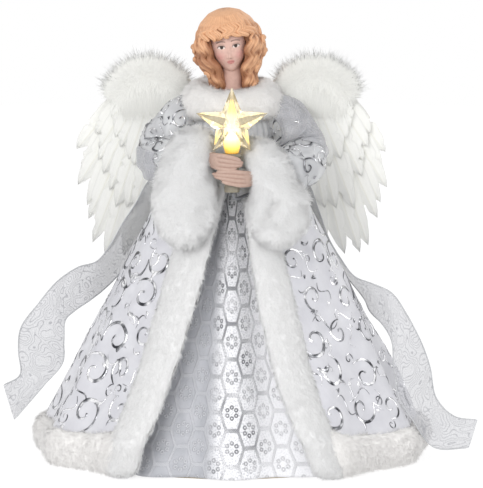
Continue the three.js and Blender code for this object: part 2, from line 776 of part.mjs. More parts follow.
function hand(side, grow = 0) {
  const height = handZ(side);
  const reach = SOCKET_RADIUS + 2 * SEAT_GAP + FINGER_RADIUS;
  const finger = (from, to, z, radius) => {
    const points = [];
    for (let k = 0; k <= 4; k++) {
      points.push(roundLamp(side * degToRad(lerp(from, to, k / 4)), reach, z));
    }
    const girth = (t) => radius * (1 - 0.22 * t) + grow;
    return taperedTube(new THREE.CatmullRomCurve3(points), 4, 4, girth);
  };
  const lean = 0.99; // keeps both hands inside their own height
  const fingers = [-1.5, -0.5, 0.5, 1.5].map((row, k) =>
    finger(82, [-34, -50, -52, -42][k], height + row * FINGER_PITCH * lean, FINGER_RADIUS),
  );
  const thumb = finger(96, 190, height + FINGER_PITCH, FINGER_RADIUS);
  const palm = new THREE.SphereGeometry(1, 9, 6);
  const tall = 2 * FINGER_PITCH + grow;
  palm.scale(4.8 + grow, 6.6 + grow, tall).translate(side * (reach + 3.4), LAMP_Y, height);
  const wrist = taperedTube(
    new THREE.CatmullRomCurve3([
      vec(side * (reach + 3), LAMP_Y + 0.6, height),
      vec(side * (reach + 9), LAMP_Y + 4, height),
      vec(side * (WRIST_OUT - 1), -WRIST_FORWARD - 1, height),
    ]),
    3,
    8,
    (t) => lerp(4.6, 4, t) + grow,
  );
  const grip = join([palm, wrist]);
  if (grow) return grip;
  const held = cut(grip, socketShape(SEAT_GAP), armBoreFor(side));
  return held.add(join([thumb, ...fingers]));
}

const armBoreFor = (side) =>
  taperedTube(
    armPath,
    6,
    6,
    () => ARM_WIRE_RADIUS + 2 * SEAT_GAP,
    side < 0 ? 0 : 0.9,
    side < 0 ? 0.1 : 1,
  );

// Lamp: socket, flame bulb and clear star
function socketShape(grow = 0) {
  const low = HAND_Z - SOCKET_BELOW_HANDS - grow;
  const high = BULB_Z - SEAT_GAP + grow;
  const flange = SOCKET_RADIUS + 1.4 + grow;
  const profile = [
    [0, low],
    [SOCKET_RADIUS + grow, low],
    [SOCKET_RADIUS + grow, high - 2.2 - 2 * grow],
    [flange, high - 1.8 - 2 * grow],
    [flange, high],
    [0, high],
  ];
  return turned(profile, 16, 0, LAMP_Y);
}

function lampSocket() {
  const wide = BULB_NECK_RADIUS + SEAT_GAP;
  const deep = BULB_NECK_LENGTH + SEAT_GAP;
  const bore = new THREE.CylinderGeometry(wide, wide, deep + 2, 14).rotateX(Math.PI / 2);
  bore.translate(0, LAMP_Y, BULB_Z - SEAT_GAP - deep / 2 + 1);
  return cut(solidOf(socketShape()), bore);
}

const BULB_STATIONS = [
  [0, 0.76],
  [0.1, 0.93],
  [0.27, 1],
  [0.5, 0.81],
  [0.72, 0.49],
  [0.92, 0.16],
];

function bulbShape(grow = 0) {
  const body = BULB_STATIONS.map(([t, r]) => [BULB_RADIUS * r + grow, BULB_LENGTH * t]);
  const profile = [
    [0, -BULB_NECK_LENGTH],
    [BULB_NECK_RADIUS, -BULB_NECK_LENGTH],
    [BULB_NECK_RADIUS, 0],
    ...body,
    [0, BULB_LENGTH + grow],
  ];
  return turned(profile, 12, 0, LAMP_Y, BULB_Z);
}

function star() {
  const centre = BULB_Z + STAR_RISE;
  const outline = Array.from({ length: 10 }, (_, k) => {
    const a = (Math.PI * k) / 5;
    const tip = k === 4 || k === 6 ? STAR_LOWER_SHARE * STAR_RADIUS : STAR_RADIUS;
    const r = k % 2 ? STAR_NOTCH_RADIUS : tip;
    return [r * Math.sin(a), centre + r * Math.cos(a)];
  });
  const points = [vec(0, LAMP_Y - STAR_HALF_DEPTH, centre), vec(0, LAMP_Y + STAR_HALF_DEPTH, centre)];
  for (const [x, z] of outline) {
    points.push(vec(x, LAMP_Y - STAR_RIM / 2, z), vec(x, LAMP_Y + STAR_RIM / 2, z));
  }
  const triangles = [];
  for (let k = 0; k < 10; k++) {
    const [a, b] = [2 + 2 * k, 2 + 2 * ((k + 1) % 10)];
    triangles.push(0, a, b, 1, b + 1, a + 1, a, a + 1, b + 1, a, b + 1, b);
  }
  const passage = new THREE.CylinderGeometry(1, 1, BULB_LENGTH, 16).rotateX(Math.PI / 2);
  const wide = BULB_RADIUS + SEAT_GAP;
  passage.scale(wide, wide, 1).translate(0, LAMP_Y, BULB_Z + 0.27 * BULB_LENGTH - BULB_LENGTH / 2);
  return cut(solidOf(closed(points, triangles)), bulbShape(SEAT_GAP), passage);
}

// Lead from the battery case up the cone, through the torso and down one sleeve
const caseLean = Math.atan((CONE_BASE_RADIUS - CONE_TOP_RADIUS) / CONE_HEIGHT);
const casePlace = new THREE.Matrix4()
  .makeTranslation(0, coneOuter(CASE_CENTRE_HEIGHT) - CONE_WALL, CASE_CENTRE_HEIGHT)
  .multiply(new THREE.Matrix4().makeRotationX(caseLean));

function leadPath() {
  const low = HAND_Z - SOCKET_BELOW_HANDS;
  const below = ARM_WIRE_RADIUS + LEAD_RADIUS + 2 * SEAT_GAP;
  const exit = vec(0, CASE_BACK - CASE_DEPTH / 2, CASE_TOP + SEAT_GAP).applyMatrix4(casePlace);
  const rise = vec(0, CASE_BACK - CASE_DEPTH / 2, CASE_TOP + 12).applyMatrix4(casePlace);
  const beside = [0.58, 0.62, 0.66, 0.7, 0.74, 0.78, 0.82, 0.86].map((s) => {
    const t = armPath.getTangentAt(s);
    const side = t.clone().cross(vec(0, 0, 1)).normalize();
    return armPath.getPointAt(s).addScaledVector(side.cross(t), -below);
  });
  return new THREE.CatmullRomCurve3([
    exit,
    rise,
    vec(0, 1 + CONE_TOP_RADIUS / 3, CONE_HEIGHT - SPIGOT_LENGTH - 24),
    vec(0, 2, CONE_HEIGHT - SPIGOT_LENGTH - 6),
    vec(0, 1, CONE_HEIGHT),
    vec(0, 1, ARM_Z - 24),
    vec(0.6, 1, ARM_Z - 12),
    vec(4, 1, ARM_Z - below - 1.2),
    vec(10, 1, ARM_Z - below),
    ...beside,
    vec(WRIST_OUT + 6, 7 - WRIST_FORWARD, low),
    vec(11, LAMP_Y + 11, low - 3),
    vec(2, LAMP_Y + 3, low - 5),
    vec(0, LAMP_Y, low - 3 * SEAT_GAP),
  ]);
}

const leadShape = (grow = 0) => wireTube(leadPath(), 60, 4, LEAD_RADIUS + grow);

// Wings
const wingArc = new THREE.QuadraticBezierCurve(
  new THREE.Vector2(0.167, 0.125).multiplyScalar(WING_REACH),
  new THREE.Vector2(0.694, 0.833).multiplyScalar(WING_REACH),
  new THREE.Vector2(1, 0.222).multiplyScalar(WING_REACH),
);

// A point of the wing: place out from the hinge, height, and depth toward the front
const wingPoint = (side, out, up, front) => vec(side * out, -front, up);

// Rows: count, length share, blade width, drop below the arc
const FEATHER_ROWS = {
  primaries: [10, 1, FEATHER_WIDTH, 0],
  secondaries: [9, 0.72, 0.94 * FEATHER_WIDTH, 0.17 * FEATHER_WIDTH],
  coverts: [8, 0.46, 0.86 * FEATHER_WIDTH, 0.34 * FEATHER_WIDTH],
};
const ROW_FROM = 0.26; // first and last quill on the arc
const ROW_TO = 0.62;

// Fan of one row from its innermost to its outermost feather
const FAN_STATIONS = [
  [0, -2, 0.8 * FEATHER_LENGTH],
  [0.25, 6, 0.95 * FEATHER_LENGTH],
  [0.5, 15, FEATHER_LENGTH],
  [0.62, 18, 0.86 * FEATHER_LENGTH],
  [0.76, 23, 0.74 * FEATHER_LENGTH],
  [0.88, 27, 0.625 * FEATHER_LENGTH],
  [1, 34, 0.52 * FEATHER_LENGTH],
];
const BLADE_STATIONS = [
  [0, 0.13],
  [0.16, 0.24],
  [0.45, 1],
  [0.8, 0.92],
  [0.95, 0.5],
  [1, 0.12],
];

function feather(side, place, share, width, drop, base) {
  const root = wingArc.getPoint(lerp(ROW_FROM, ROW_TO, place));
  const [lean, full] = stationAt(FAN_STATIONS, place);
  const length = share * full;
  const along = [Math.sin(degToRad(lean)), -Math.cos(degToRad(lean))];
  const blade = (face) => (u, v) => {
    const t = BLADE_STATIONS[Math.round(v * (BLADE_STATIONS.length - 1))][0];
    const half = (width / 2) * stationAt(BLADE_STATIONS, t)[0];
    const aside = (2 * u - 1) * half + 0.02 * length * t * t;
    const out = root.x + along[0] * length * t - along[1] * aside;
    const up = root.y - drop + along[1] * length * t + along[0] * aside;
    const front = base + (2 * u - 1) * FEATHER_TILT + (face * FEATHER_THICKNESS) / 2;
    return wingPoint(side, out, up, front);
  };
  return shell(1, BLADE_STATIONS.length - 1, false, blade(1), blade(-1));
}

function wingBand(side, from, to, width, low, high, drop, steps) {
  const rings = [];
  for (let i = 0; i <= steps; i++) {
    const t = lerp(from, to, i / steps);
    const p = wingArc.getPoint(t);
    const d = wingArc.getTangent(t);
    const edge = (sign, front) =>
      wingPoint(side, p.x - (sign * d.y * width) / 2, p.y - drop + (sign * d.x * width) / 2, front);
    rings.push([edge(1, low), edge(1, high), edge(-1, high), edge(-1, low)]);
  }
  return loft(rings);
}

function featherRow(side, name, level) {
  const [count, share, width, drop] = FEATHER_ROWS[name];
  const low = WING_CARD + SEAT_GAP + level * (FEATHER_ROW_DEPTH + SEAT_GAP);
  const base = low + FEATHER_ROW_DEPTH / 2;
  const high = low + FEATHER_ROW_DEPTH;
  const shapes = [
    wingBand(side, ROW_FROM - 0.03, ROW_TO + 0.03, FEATHER_TAPE_WIDTH, low, high, drop, 6),
  ];
  for (let k = 0; k < count; k++) {
    shapes.push(feather(side, k / (count - 1), share, width, drop, base));
  }
  return join(shapes);
}

function marabou(side) {
  const low = WING_CARD + SEAT_GAP + 3 * (FEATHER_ROW_DEPTH + SEAT_GAP);
  const rings = [];
  for (let i = 0; i <= 12; i++) {
    const t = lerp(0.16, 1.02, i / 12);
    const p = wingArc.getPoint(Math.min(t, 1));
    const d = wingArc.getTangent(Math.min(t, 1));
    const size = Math.sqrt(clamp(1 - Math.pow(2 * (i / 12) - 1, 6), 0.12, 1));
    rings.push(
      Array.from({ length: 9 }, (_, s) => {
        const a = Math.PI * (s / 8);
        const aside = MARABOU_HALF_WIDTH * size * Math.cos(a) - 1;
        const front = low + MARABOU_DEPTH * size * Math.sin(a);
        return wingPoint(side, p.x - d.y * aside, p.y + d.x * aside, front);
      }),
    );
  }
  return loft(rings);
}

function wingFrame(side) {
  const behind = -(WING_WIRE_RADIUS + SEAT_GAP);
  const points = [
    wingPoint(side, 0, -WING_SHANK / 2, 0),
    wingPoint(side, 0, 0, 0),
    wingPoint(side, 0.4, WING_SHANK / 2 - 4, 0),
    wingPoint(side, 5, WING_SHANK / 2, behind),
  ];
  for (const t of [0.12, 0.3, 0.5, 0.7, 0.92]) {
    const p = wingArc.getPoint(t);
    points.push(wingPoint(side, p.x, p.y, behind));
  }
  return wireTube(new THREE.CatmullRomCurve3(points), 20, 6, WING_WIRE_RADIUS);
}

function wingCard(side) {
  return wingBand(side, 0.04, 0.97, WING_CARD_WIDTH, 0, WING_CARD, 0, 12);
}

const wingTurn = degToRad(WING_LEAN);
const wingHub = (side) => vec(side * WING_ROOT_OUT, WING_ROOT_BACK, CONE_HEIGHT + WING_ROOT_RISE);

// Bracket glued to the bodice's back, with a tube for each wing wire
function wingBracket() {
  const deep = WING_ROOT_BACK - CHEST_HALF_DEPTH + 2;
  const shapes = [];
  const mid = CONE_HEIGHT + WING_ROOT_RISE;
  const plateY = WING_ROOT_BACK - KNUCKLE_RADIUS - BRACKET_PLATE / 2 + 0.6;
  shapes.push(boxAt(BRACKET_WIDTH, BRACKET_PLATE, KNUCKLE_LENGTH - 4, 0, plateY, mid));
  shapes.push(boxAt(BRACKET_WIDTH * 0.6, deep, KNUCKLE_LENGTH - 8, 0, plateY - deep / 2, mid));
  const bores = [];
  for (const side of [-1, 1]) {
    const tube = (radius, length) => {
      const shape = new THREE.CylinderGeometry(radius, radius, length, 12).rotateX(Math.PI / 2);
      const hub = wingHub(side);
      return shape.rotateX(wingTurn).translate(hub.x, hub.y, hub.z);
    };
    shapes.push(tube(KNUCKLE_RADIUS, KNUCKLE_LENGTH));
    bores.push(tube(WING_WIRE_RADIUS + TURN_GAP, WING_SHANK * 2));
  }
  const body = torsoBody(bodiceOuter + SEAT_GAP, TORSO_BASE_Z, SHOULDER_Z + SEAT_GAP);
  return cut(join(shapes), ...bores, body, collar(SEAT_GAP));
}

// Ribbon tails between two edges, across and back in shares of the robe's radius, up in shares of the cone
const LEFT_RIBBON = [
  [[-0.255, 0.723, 1.054], [-0.118, 0.941, 0.925]],
  [[-0.957, 0.766, 1.043], [-0.468, 1.000, 0.989]],
  [[-1.213, 0.553, 0.989], [-0.679, 0.867, 0.903]],
  [[-1.256, 0.343, 0.909], [-0.819, 0.769, 0.817]],
  [[-1.270, 0.203, 0.839], [-0.913, 0.656, 0.720]],
  [[-1.255, 0.106, 0.763], [-0.998, 0.473, 0.634]],
  [[-1.293, 0.000, 0.710], [-1.070, 0.243, 0.591]],
  [[-1.432, -0.083, 0.694], [-1.145, 0.024, 0.565]],
  [[-1.529, -0.130, 0.645], [-1.224, -0.045, 0.527]],
  [[-1.546, -0.142, 0.565], [-1.245, -0.088, 0.500]],
  [[-1.533, -0.107, 0.473], [-1.166, -0.102, 0.425]],
  [[-1.431, -0.059, 0.387], [-1.092, -0.085, 0.344]],
  [[-1.311, -0.036, 0.296], [-1.129, -0.062, 0.258]],
  [[-1.373, -0.106, 0.263], [-1.194, -0.081, 0.134]],
];
const RIGHT_RIBBON = [
  [[0.255, 0.723, 1.054], [0.118, 0.941, 0.925]],
  [[0.957, 0.766, 1.043], [0.468, 1.000, 1.000]],
  [[1.128, 0.553, 0.973], [0.692, 0.884, 0.914]],
  [[1.082, 0.330, 0.887], [0.825, 0.776, 0.823]],
  [[1.030, 0.187, 0.785], [0.886, 0.647, 0.710]],
  [[1.048, 0.085, 0.715], [0.998, 0.467, 0.624]],
  [[1.090, 0.000, 0.656], [1.056, 0.235, 0.559]],
  [[1.233, -0.076, 0.629], [1.059, 0.045, 0.522]],
  [[1.330, -0.135, 0.602], [1.106, -0.087, 0.484]],
  [[1.337, -0.159, 0.527], [1.110, -0.226, 0.430]],
  [[1.309, -0.164, 0.425], [1.035, -0.323, 0.344]],
  [[1.260, -0.169, 0.333], [0.979, -0.385, 0.247]],
  [[1.186, -0.189, 0.226], [0.992, -0.377, 0.167]],
  [[1.225, -0.212, 0.161], [1.097, -0.323, 0.059]],
  [[1.339, -0.194, 0.145], [1.290, -0.242, 0.048]],
];

function ribbon(rows) {
  const edge = (side) => {
    const points = rows.map((pair) => {
      const [x, y, z] = pair[side];
      const reach = robeHalf(Math.min(z * CONE_HEIGHT, ROBE_HIP_Z))[0];
      return vec(x * reach, y * reach, z * CONE_HEIGHT);
    });
    return new THREE.CatmullRomCurve3(points);
  };
  const [first, second] = [edge(0), edge(1)];
  const surface = (u, v) => {
    const p = first.getPoint(v).lerp(second.getPoint(v), u);
    const bow = 1.6 * Math.sin(Math.PI * u);
    return p.setY(p.y - bow);
  };
  const band = cut(solidOf(cloth(2, 28, RIBBON_CLOTH, surface)), robeEnvelope(SEAT_GAP));
  return band.decompose().sort((a, b) => b.volume() - a.volume())[0];
}

// Battery case, laid out with its back to the cone wall and its length up the slope
const CASE_BACK = -CASE_STANDOFF;
const CASE_HALF_WIDTH = 2 * CELL_RADIUS + 2 * SEAT_GAP + CASE_WALL;
const CELL_ROOM = CELL_LENGTH + CELL_NUB_LENGTH + CONTACT_SPRING + 2 * CONTACT_PLATE + 4 * SEAT_GAP;
const CASE_HEIGHT = CELL_ROOM + SWITCH_BAY + 3 * CASE_WALL;
const CASE_TOP = CASE_HEIGHT / 2;
const ROOM_LOW = -CASE_TOP + 2 * CASE_WALL + SWITCH_BAY;
const CELL_Y = CASE_BACK - CASE_WALL - SEAT_GAP - CELL_RADIUS;
const CELL_X = CELL_RADIUS + SEAT_GAP / 2;
const CASE_FRONT = CASE_BACK - CASE_DEPTH;

function batteryCase() {
  const middle = CASE_BACK - CASE_DEPTH / 2;
  const box = boxAt(2 * CASE_HALF_WIDTH, CASE_DEPTH, CASE_HEIGHT, 0, middle, 0);
  const rail = boxAt(
    2 * (CASE_HALF_WIDTH + RAIL_WIDTH),
    RAIL_THICKNESS,
    CASE_HEIGHT,
    0,
    CASE_FRONT + RAIL_THICKNESS / 2,
    0,
  );
  const inside = 2 * (CASE_HALF_WIDTH - CASE_WALL);
  const open = CASE_DEPTH - CASE_WALL + 1;
  const room = boxAt(inside, open, CELL_ROOM, 0, CASE_FRONT + open / 2 - 1, ROOM_LOW + CELL_ROOM / 2);
  const bayMiddle = ROOM_LOW - CASE_WALL - SWITCH_BAY / 2;
  const bay = boxAt(inside, open, SWITCH_BAY, 0, CASE_FRONT + open / 2 - 1, bayMiddle);
  const slot = boxAt(KNOB_TRAVEL + 6, 4, CASE_WALL * 3, 0, middle, -CASE_TOP);
  return cut(join([box, rail]), room, bay, slot);
}

// Door that wraps the case's rails and slides down off them
function batteryDoor() {
  const wide = CASE_HALF_WIDTH + RAIL_WIDTH + SLIDE_GAP + 1.4;
  const face = CASE_FRONT - SLIDE_GAP;
  const plate = boxAt(2 * wide, DOOR_PLATE, CASE_HEIGHT, 0, face - DOOR_PLATE / 2, 0);
  const shapes = [plate];
  for (const side of [-1, 1]) {
    const deep = RAIL_THICKNESS + 2 * SLIDE_GAP + 1.2;
    const x = side * (wide - 0.7);
    shapes.push(boxAt(1.4, deep + 0.2, CASE_HEIGHT, x, face + deep / 2 - 0.1, 0));
    const lip = RAIL_WIDTH + 1.4;
    shapes.push(boxAt(lip, 1.2, CASE_HEIGHT, side * (wide - lip / 2), face + deep - 0.6, 0));
  }
  for (let k = 0; k < 4; k++) {
    const z = -CASE_TOP + 6 + 2.4 * k;
    shapes.push(boxAt(CASE_HALF_WIDTH, 1, 1.1, 0, face - DOOR_PLATE - 0.4, z));
  }
  return join(shapes);
}

// Cell standing on its flat end, or turned over
function cell(side) {
  const profile = [
    [0, 0],
    [CELL_RADIUS, 0],
    [CELL_RADIUS, CELL_LENGTH],
    [CELL_NUB_RADIUS, CELL_LENGTH],
    [CELL_NUB_RADIUS, CELL_LENGTH + CELL_NUB_LENGTH],
    [0, CELL_LENGTH + CELL_NUB_LENGTH],
  ];
  const shape = turned(profile, 16);
  const low = ROOM_LOW + CONTACT_PLATE + 2 * SEAT_GAP;
  if (side < 0) return shape.translate(-CELL_X, CELL_Y, low + CONTACT_SPRING);
  shape.rotateX(Math.PI).translate(CELL_X, CELL_Y, low + CELL_LENGTH + CELL_NUB_LENGTH);
  return shape;
}

const springLow = (side) => {
  if (side < 0) return ROOM_LOW + CONTACT_PLATE + 2 * SEAT_GAP;
  return ROOM_LOW + CELL_ROOM - CONTACT_PLATE - 2 * SEAT_GAP - CONTACT_SPRING;
};

function contactSpring(side) {
  const turns = 3;
  const points = [];
  const low = springLow(side) + SPRING_WIRE_RADIUS;
  const rise = CONTACT_SPRING - 2 * SPRING_WIRE_RADIUS - SEAT_GAP;
  for (let k = 0; k <= turns * 10; k++) {
    const a = (2 * Math.PI * k) / 10;
    const t = k / (turns * 10);
    const r = SPRING_COIL_RADIUS * (side < 0 ? 1 - 0.25 * t : 0.75 + 0.25 * t);
    points.push(vec(side * CELL_X + r * Math.cos(a), CELL_Y + r * Math.sin(a), low + rise * t));
  }
  let least = Infinity;
  for (let i = 0; i < points.length; i++) {
    for (let j = i + 6; j < points.length; j++) {
      least = Math.min(least, points[i].distanceTo(points[j]) - 2 * SPRING_WIRE_RADIUS);
    }
  }
  console.log(`contact spring ${side}: least gap to itself ${least.toFixed(2)} mm`);
  return wireTube(new THREE.CatmullRomCurve3(points), turns * 10, 5, SPRING_WIRE_RADIUS);
}

const plateShape = (width, x, z) =>
  boxAt(width, 2 * CELL_RADIUS - 2, CONTACT_PLATE, x, CELL_Y, z);

function switchKnob() {
  const middle = CASE_BACK - CASE_DEPTH / 2;
  const stemWide = 6 - 2 * SLIDE_GAP;
  const stemDeep = 4 - 2 * SLIDE_GAP;
  const stem = boxAt(stemWide, stemDeep, CASE_WALL + 3, -KNOB_TRAVEL / 2, middle, -CASE_TOP + 0.2);
  const foot = boxAt(9, 7, 2, -KNOB_TRAVEL / 2, middle, -CASE_TOP + CASE_WALL + SLIDE_GAP + 1);
  return join([stem, foot]);
}

// Foam pad between the case's flat back and the round cone wall
function casePad() {
  const block = boxAt(2 * CASE_HALF_WIDTH - 6, 12, CASE_HEIGHT - 14, 0, CASE_BACK + SEAT_GAP + 6, 0);
  return solidOf(block.applyMatrix4(casePlace)).intersect(solidOf(coneInside(SEAT_GAP)));
}

// Assembly
const CARD = 0xb9a98c;
const SATIN = 0xdcdce0;
const FUR = 0xeeeeec;
const SKIN = 0xd4b0a5;
const METAL = 0xb8b8b8;
const FEATHER = 0xf2f1ea;

add("base_cone", coneShape(), CARD);
add("torso_form", torsoForm(), 0xe6e2d6);
add("bodice", bodice(), SATIN);
add("inner_skirt", underskirt(), 0xd2d3d8);
add("robe_back", robeBack(), SATIN);
add("robe_left_front", robeFront(-1), SATIN);
add("robe_right_front", robeFront(1), SATIN);
add("left_front_fur", frontTrim(-1), FUR);
add("right_front_fur", frontTrim(1), FUR);
add("hem_fur", hemFur(), FUR);
add("fur_collar", furCollar(), FUR);
add("head_bust", bust(), SKIN);
add("hair", hair(), 0xcf9f7c);
add("arm_wire", wireTube(armPath, 34, 5, ARM_WIRE_RADIUS), METAL);
add("left_sleeve", sleeve(-1), SATIN);
add("right_sleeve", sleeve(1), SATIN);
add("left_cuff_fur", cuff(-1), FUR);
add("right_cuff_fur", cuff(1), FUR);
add("left_hand", hand(-1), SKIN);
add("right_hand", hand(1), SKIN);
add("lamp_socket", lampSocket(), 0xcfc7a6);
add("bulb", bulbShape(), 0xfae997);
add("star", star(), 0xeed5ad);
add("lamp_lead", leadShape(), 0xe9e9e2);
add("left_ribbon", ribbon(LEFT_RIBBON), 0xe3e3e3);
add("right_ribbon", ribbon(RIGHT_RIBBON), 0xe3e3e3);
add("wing_bracket", wingBracket(), 0xdedede);

for (const [word, side] of [["left", -1], ["right", 1]]) {
  const wing = new THREE.Group();
  wing.position.copy(wingHub(side));
  wing.rotation.x = wingTurn;
  topper.add(wing);
  add(`${word}_wing_wire`, wingFrame(side), METAL, wing);
  add(`${word}_wing_card`, wingCard(side), 0xe8e4da, wing);
  Object.keys(FEATHER_ROWS).forEach((name, level) => {
    add(`${word}_wing_${name}`, featherRow(side, name, level), FEATHER, wing);
  });
  add(`${word}_wing_marabou`, marabou(side), 0xe6e5df, wing);
}

const power = new THREE.Group();
power.applyMatrix4(casePlace);
topper.add(power);
add("battery_case", batteryCase(), 0xdad8d2, power);
add("battery_door", batteryDoor(), 0xe2e0da, power);
add("cell_a", cell(-1), 0x3a3a3c, power);
add("cell_b", cell(1), 0x3a3a3c, power);
add("contact_spring_a", contactSpring(-1), METAL, power);
add("contact_spring_b", contactSpring(1), METAL, power);
const lowPlate = ROOM_LOW + SEAT_GAP + CONTACT_PLATE / 2;
const highPlate = ROOM_LOW + CELL_ROOM - SEAT_GAP - CONTACT_PLATE / 2;
const smallPlate = 2 * CELL_RADIUS - 3;
add("contact_plate_a", plateShape(smallPlate, -CELL_X, lowPlate), METAL, power);
add("contact_plate_b", plateShape(smallPlate, CELL_X, lowPlate), METAL, power);
add("contact_bridge", plateShape(4 * CELL_RADIUS - 3, 0, highPlate), METAL, power);
add("switch_knob", switchKnob(), 0x2e2e30, power);
add("case_pad", casePad(), 0xd8d6cc);

export default topper;
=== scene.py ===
import math
from functools import partial

import bmesh
import bpy
import numpy as np
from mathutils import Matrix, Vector, kdtree


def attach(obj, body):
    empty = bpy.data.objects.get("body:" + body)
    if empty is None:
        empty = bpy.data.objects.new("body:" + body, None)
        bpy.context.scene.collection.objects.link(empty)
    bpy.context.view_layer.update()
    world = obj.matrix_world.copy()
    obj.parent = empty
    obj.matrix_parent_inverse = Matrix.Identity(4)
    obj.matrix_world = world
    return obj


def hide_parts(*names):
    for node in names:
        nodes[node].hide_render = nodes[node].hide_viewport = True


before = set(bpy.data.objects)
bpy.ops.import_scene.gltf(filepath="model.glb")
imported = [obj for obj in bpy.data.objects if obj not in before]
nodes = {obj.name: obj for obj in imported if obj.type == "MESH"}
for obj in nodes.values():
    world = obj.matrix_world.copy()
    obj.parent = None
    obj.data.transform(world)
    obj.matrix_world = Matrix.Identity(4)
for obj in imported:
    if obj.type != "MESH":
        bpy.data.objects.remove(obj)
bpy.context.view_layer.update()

# Sizes in millimetres, as in the solids; front is -Y, up is +Z, left is the viewer's left
MM = 0.001
FIGURE = "figure"
SIDES = (("left", -1), ("right", 1))
CONE_TOP, CONE_R, CONE_TOP_R = 186, 104, 26
HEM_Z, HIP_Z, TOP_Z = 26.9, 180, 201
HEM_R, HIP_R = 124, 47
# Robe by height: half width, half depth and mean radius
ROBE = ((HEM_Z, HEM_R, HEM_R, HEM_R), (HIP_Z, HIP_R, HIP_R, HIP_R), (TOP_Z, 27, 23.7, 25.4))
SLANT = math.hypot(HIP_Z - HEM_Z, HEM_R - HIP_R)
DROP = (HIP_Z - HEM_Z) / SLANT
LAMP_Y, HAND_Z = -66, 199
HEAD_AT, HEAD_ROLL, HEAD_PITCH = (-2.5, -5, 281.8), math.radians(-8), math.radians(7)
WING_HUB, WING_LEAN = (9, 37, 228), math.radians(17.7)


# Tools

def lerp(a, b, t):
    return a + (b - a) * t


def fade(low, high, at):
    """Smooth step from 0 at low to 1 at high."""
    t = np.clip((at - low) / (high - low), 0, 1)
    return t * t * (3 - 2 * t)


def bump(at, middle, width):
    return np.exp(-(((at - middle) / width) ** 2))


def rounded(v, end=0.06):
    """Closes a tube's ends in a half round."""
    t = np.clip(np.minimum(v, 1 - v) / end, 0, 1)
    return np.sqrt(np.maximum(0, 1 - (1 - t) ** 2))


def blunt(v, end):
    """The same, with a tiny face left at each end."""
    return np.maximum(rounded(v, end), 0.02)


def along(table, at):
    """A table's columns between its rows; the first column is the place."""
    steps = [row[0] for row in table]
    return [np.interp(at, steps, column) for column in list(zip(*table))[1:]]


def ripple(a, b, seed, pitch):
    """Soft uneven waves between -1 and 1 over two lengths, about one to each pitch."""
    rng = np.random.default_rng(seed)
    total = 0
    for _ in range(7):
        way, start = rng.uniform(0, math.tau, 2)
        size = rng.uniform(0.6, 1.7) * math.tau / pitch
        total = total + np.sin(size * (a * math.cos(way) + b * math.sin(way)) + start)
    return total / 4


def stack(x, y, z):
    return np.stack(np.broadcast_arrays(x, y, z), axis=-1).astype(float)


def turned(a, b, angle):
    c, s = math.cos(angle), math.sin(angle)
    return a * c - b * s, a * s + b * c


def unit(v):
    return v / np.maximum(np.linalg.norm(v, axis=-1, keepdims=True), 1e-9)


def lay(bm, across, down, place, flat=None):
    """Adds a grid to bm, laid where place(u, v) says and mapped as flat(u, v) says."""
    verts = bmesh.ops.create_grid(bm, x_segments=across, y_segments=down, size=0.5)["verts"]
    spot = np.array([v.co.to_tuple() for v in verts])[:, :2] + 0.5
    u, v = spot.T
    for vert, point in zip(verts, place(u, v) * MM):
        vert.co = point
    layer = bm.loops.layers.uv.verify()
    marks = dict(zip(verts, spot if flat is None else np.stack(flat(u, v), axis=-1)))
    for face in {f for vert in verts for f in vert.link_faces}:
        for loop in face.loops:
            loop[layer].uv = marks[loop.vert]


def grid(across, down, place, flat=None):
    """A new bmesh with one such grid."""
    bm = bmesh.new()
    lay(bm, across, down, place, flat)
    return bm


def square_to(path, up=(0, 0, 1)):
    """Two directions square to a line at each of its points, one level and one toward up."""
    way = unit(np.gradient(path, axis=0))
    side = unit(np.cross(way, up))
    return side, np.cross(side, way)


def tube(bm, path, radius, sides, flatten=1.0, up=(0, 0, 1), flat=None):
    """Round or flattened tube along a line of points; a radius of 0 closes an end."""
    path = np.asarray(path, float)
    last = len(path) - 1
    radius = np.broadcast_to(radius, last + 1)
    side, lift = square_to(path, up)

    def place(u, v):
        k = np.rint(v * last).astype(int)
        a = math.tau * u[:, None]
        return path[k] + radius[k, None] * (side[k] * np.cos(a) + flatten * lift[k] * np.sin(a))

    lay(bm, sides, last, place, flat)


def run_along(line):
    """Length from a line's start to each of its points."""
    return np.r_[0, np.cumsum(np.linalg.norm(np.diff(line, axis=0), axis=1))]


def points_at(line, lengths):
    run = run_along(line)
    return np.stack([np.interp(lengths, run, column) for column in line.T], axis=1)


def curve(points, count):
    """Even points on a smooth line through the given ones."""
    p = np.asarray(points, float)
    p = np.vstack([2 * p[0] - p[1], p, 2 * p[-1] - p[-2]])
    t = np.linspace(0, 1, 40, endpoint=False)[:, None]
    h = 2 * t**3 - 3 * t**2
    fine = []
    for k in range(1, len(p) - 2):
        a, b, c, d = p[k - 1:k + 3]
        d0, d1, d2 = (max(np.linalg.norm(q - r), 1e-4) ** 0.5 for q, r in ((b, a), (c, b), (d, c)))
        m1 = d1 * ((b - a) / d0 - (c - a) / (d0 + d1) + (c - b) / d1)
        m2 = d1 * ((c - b) / d1 - (d - b) / (d1 + d2) + (d - c) / d2)
        fine.append((h + 1) * b + (t**3 - 2 * t**2 + t) * m1 - h * c + (t**3 - t**2) * m2)
    fine = np.vstack([*fine, p[-2:-1]])
    return points_at(fine, np.linspace(0, run_along(fine)[-1], count))


def mesh_of(name, bm):
    mesh = bpy.data.meshes.new(name)
    bm.to_mesh(mesh)
    bm.free()
    return mesh


def add_object(name, data, place=(0, 0, 0), toward=None):
    made = bpy.data.objects.new(name, data)
    made.location = place
    if toward:
        made.rotation_euler = (toward - made.location).to_track_quat("-Z", "Y").to_euler()
    bpy.context.scene.collection.objects.link(made)
    return made


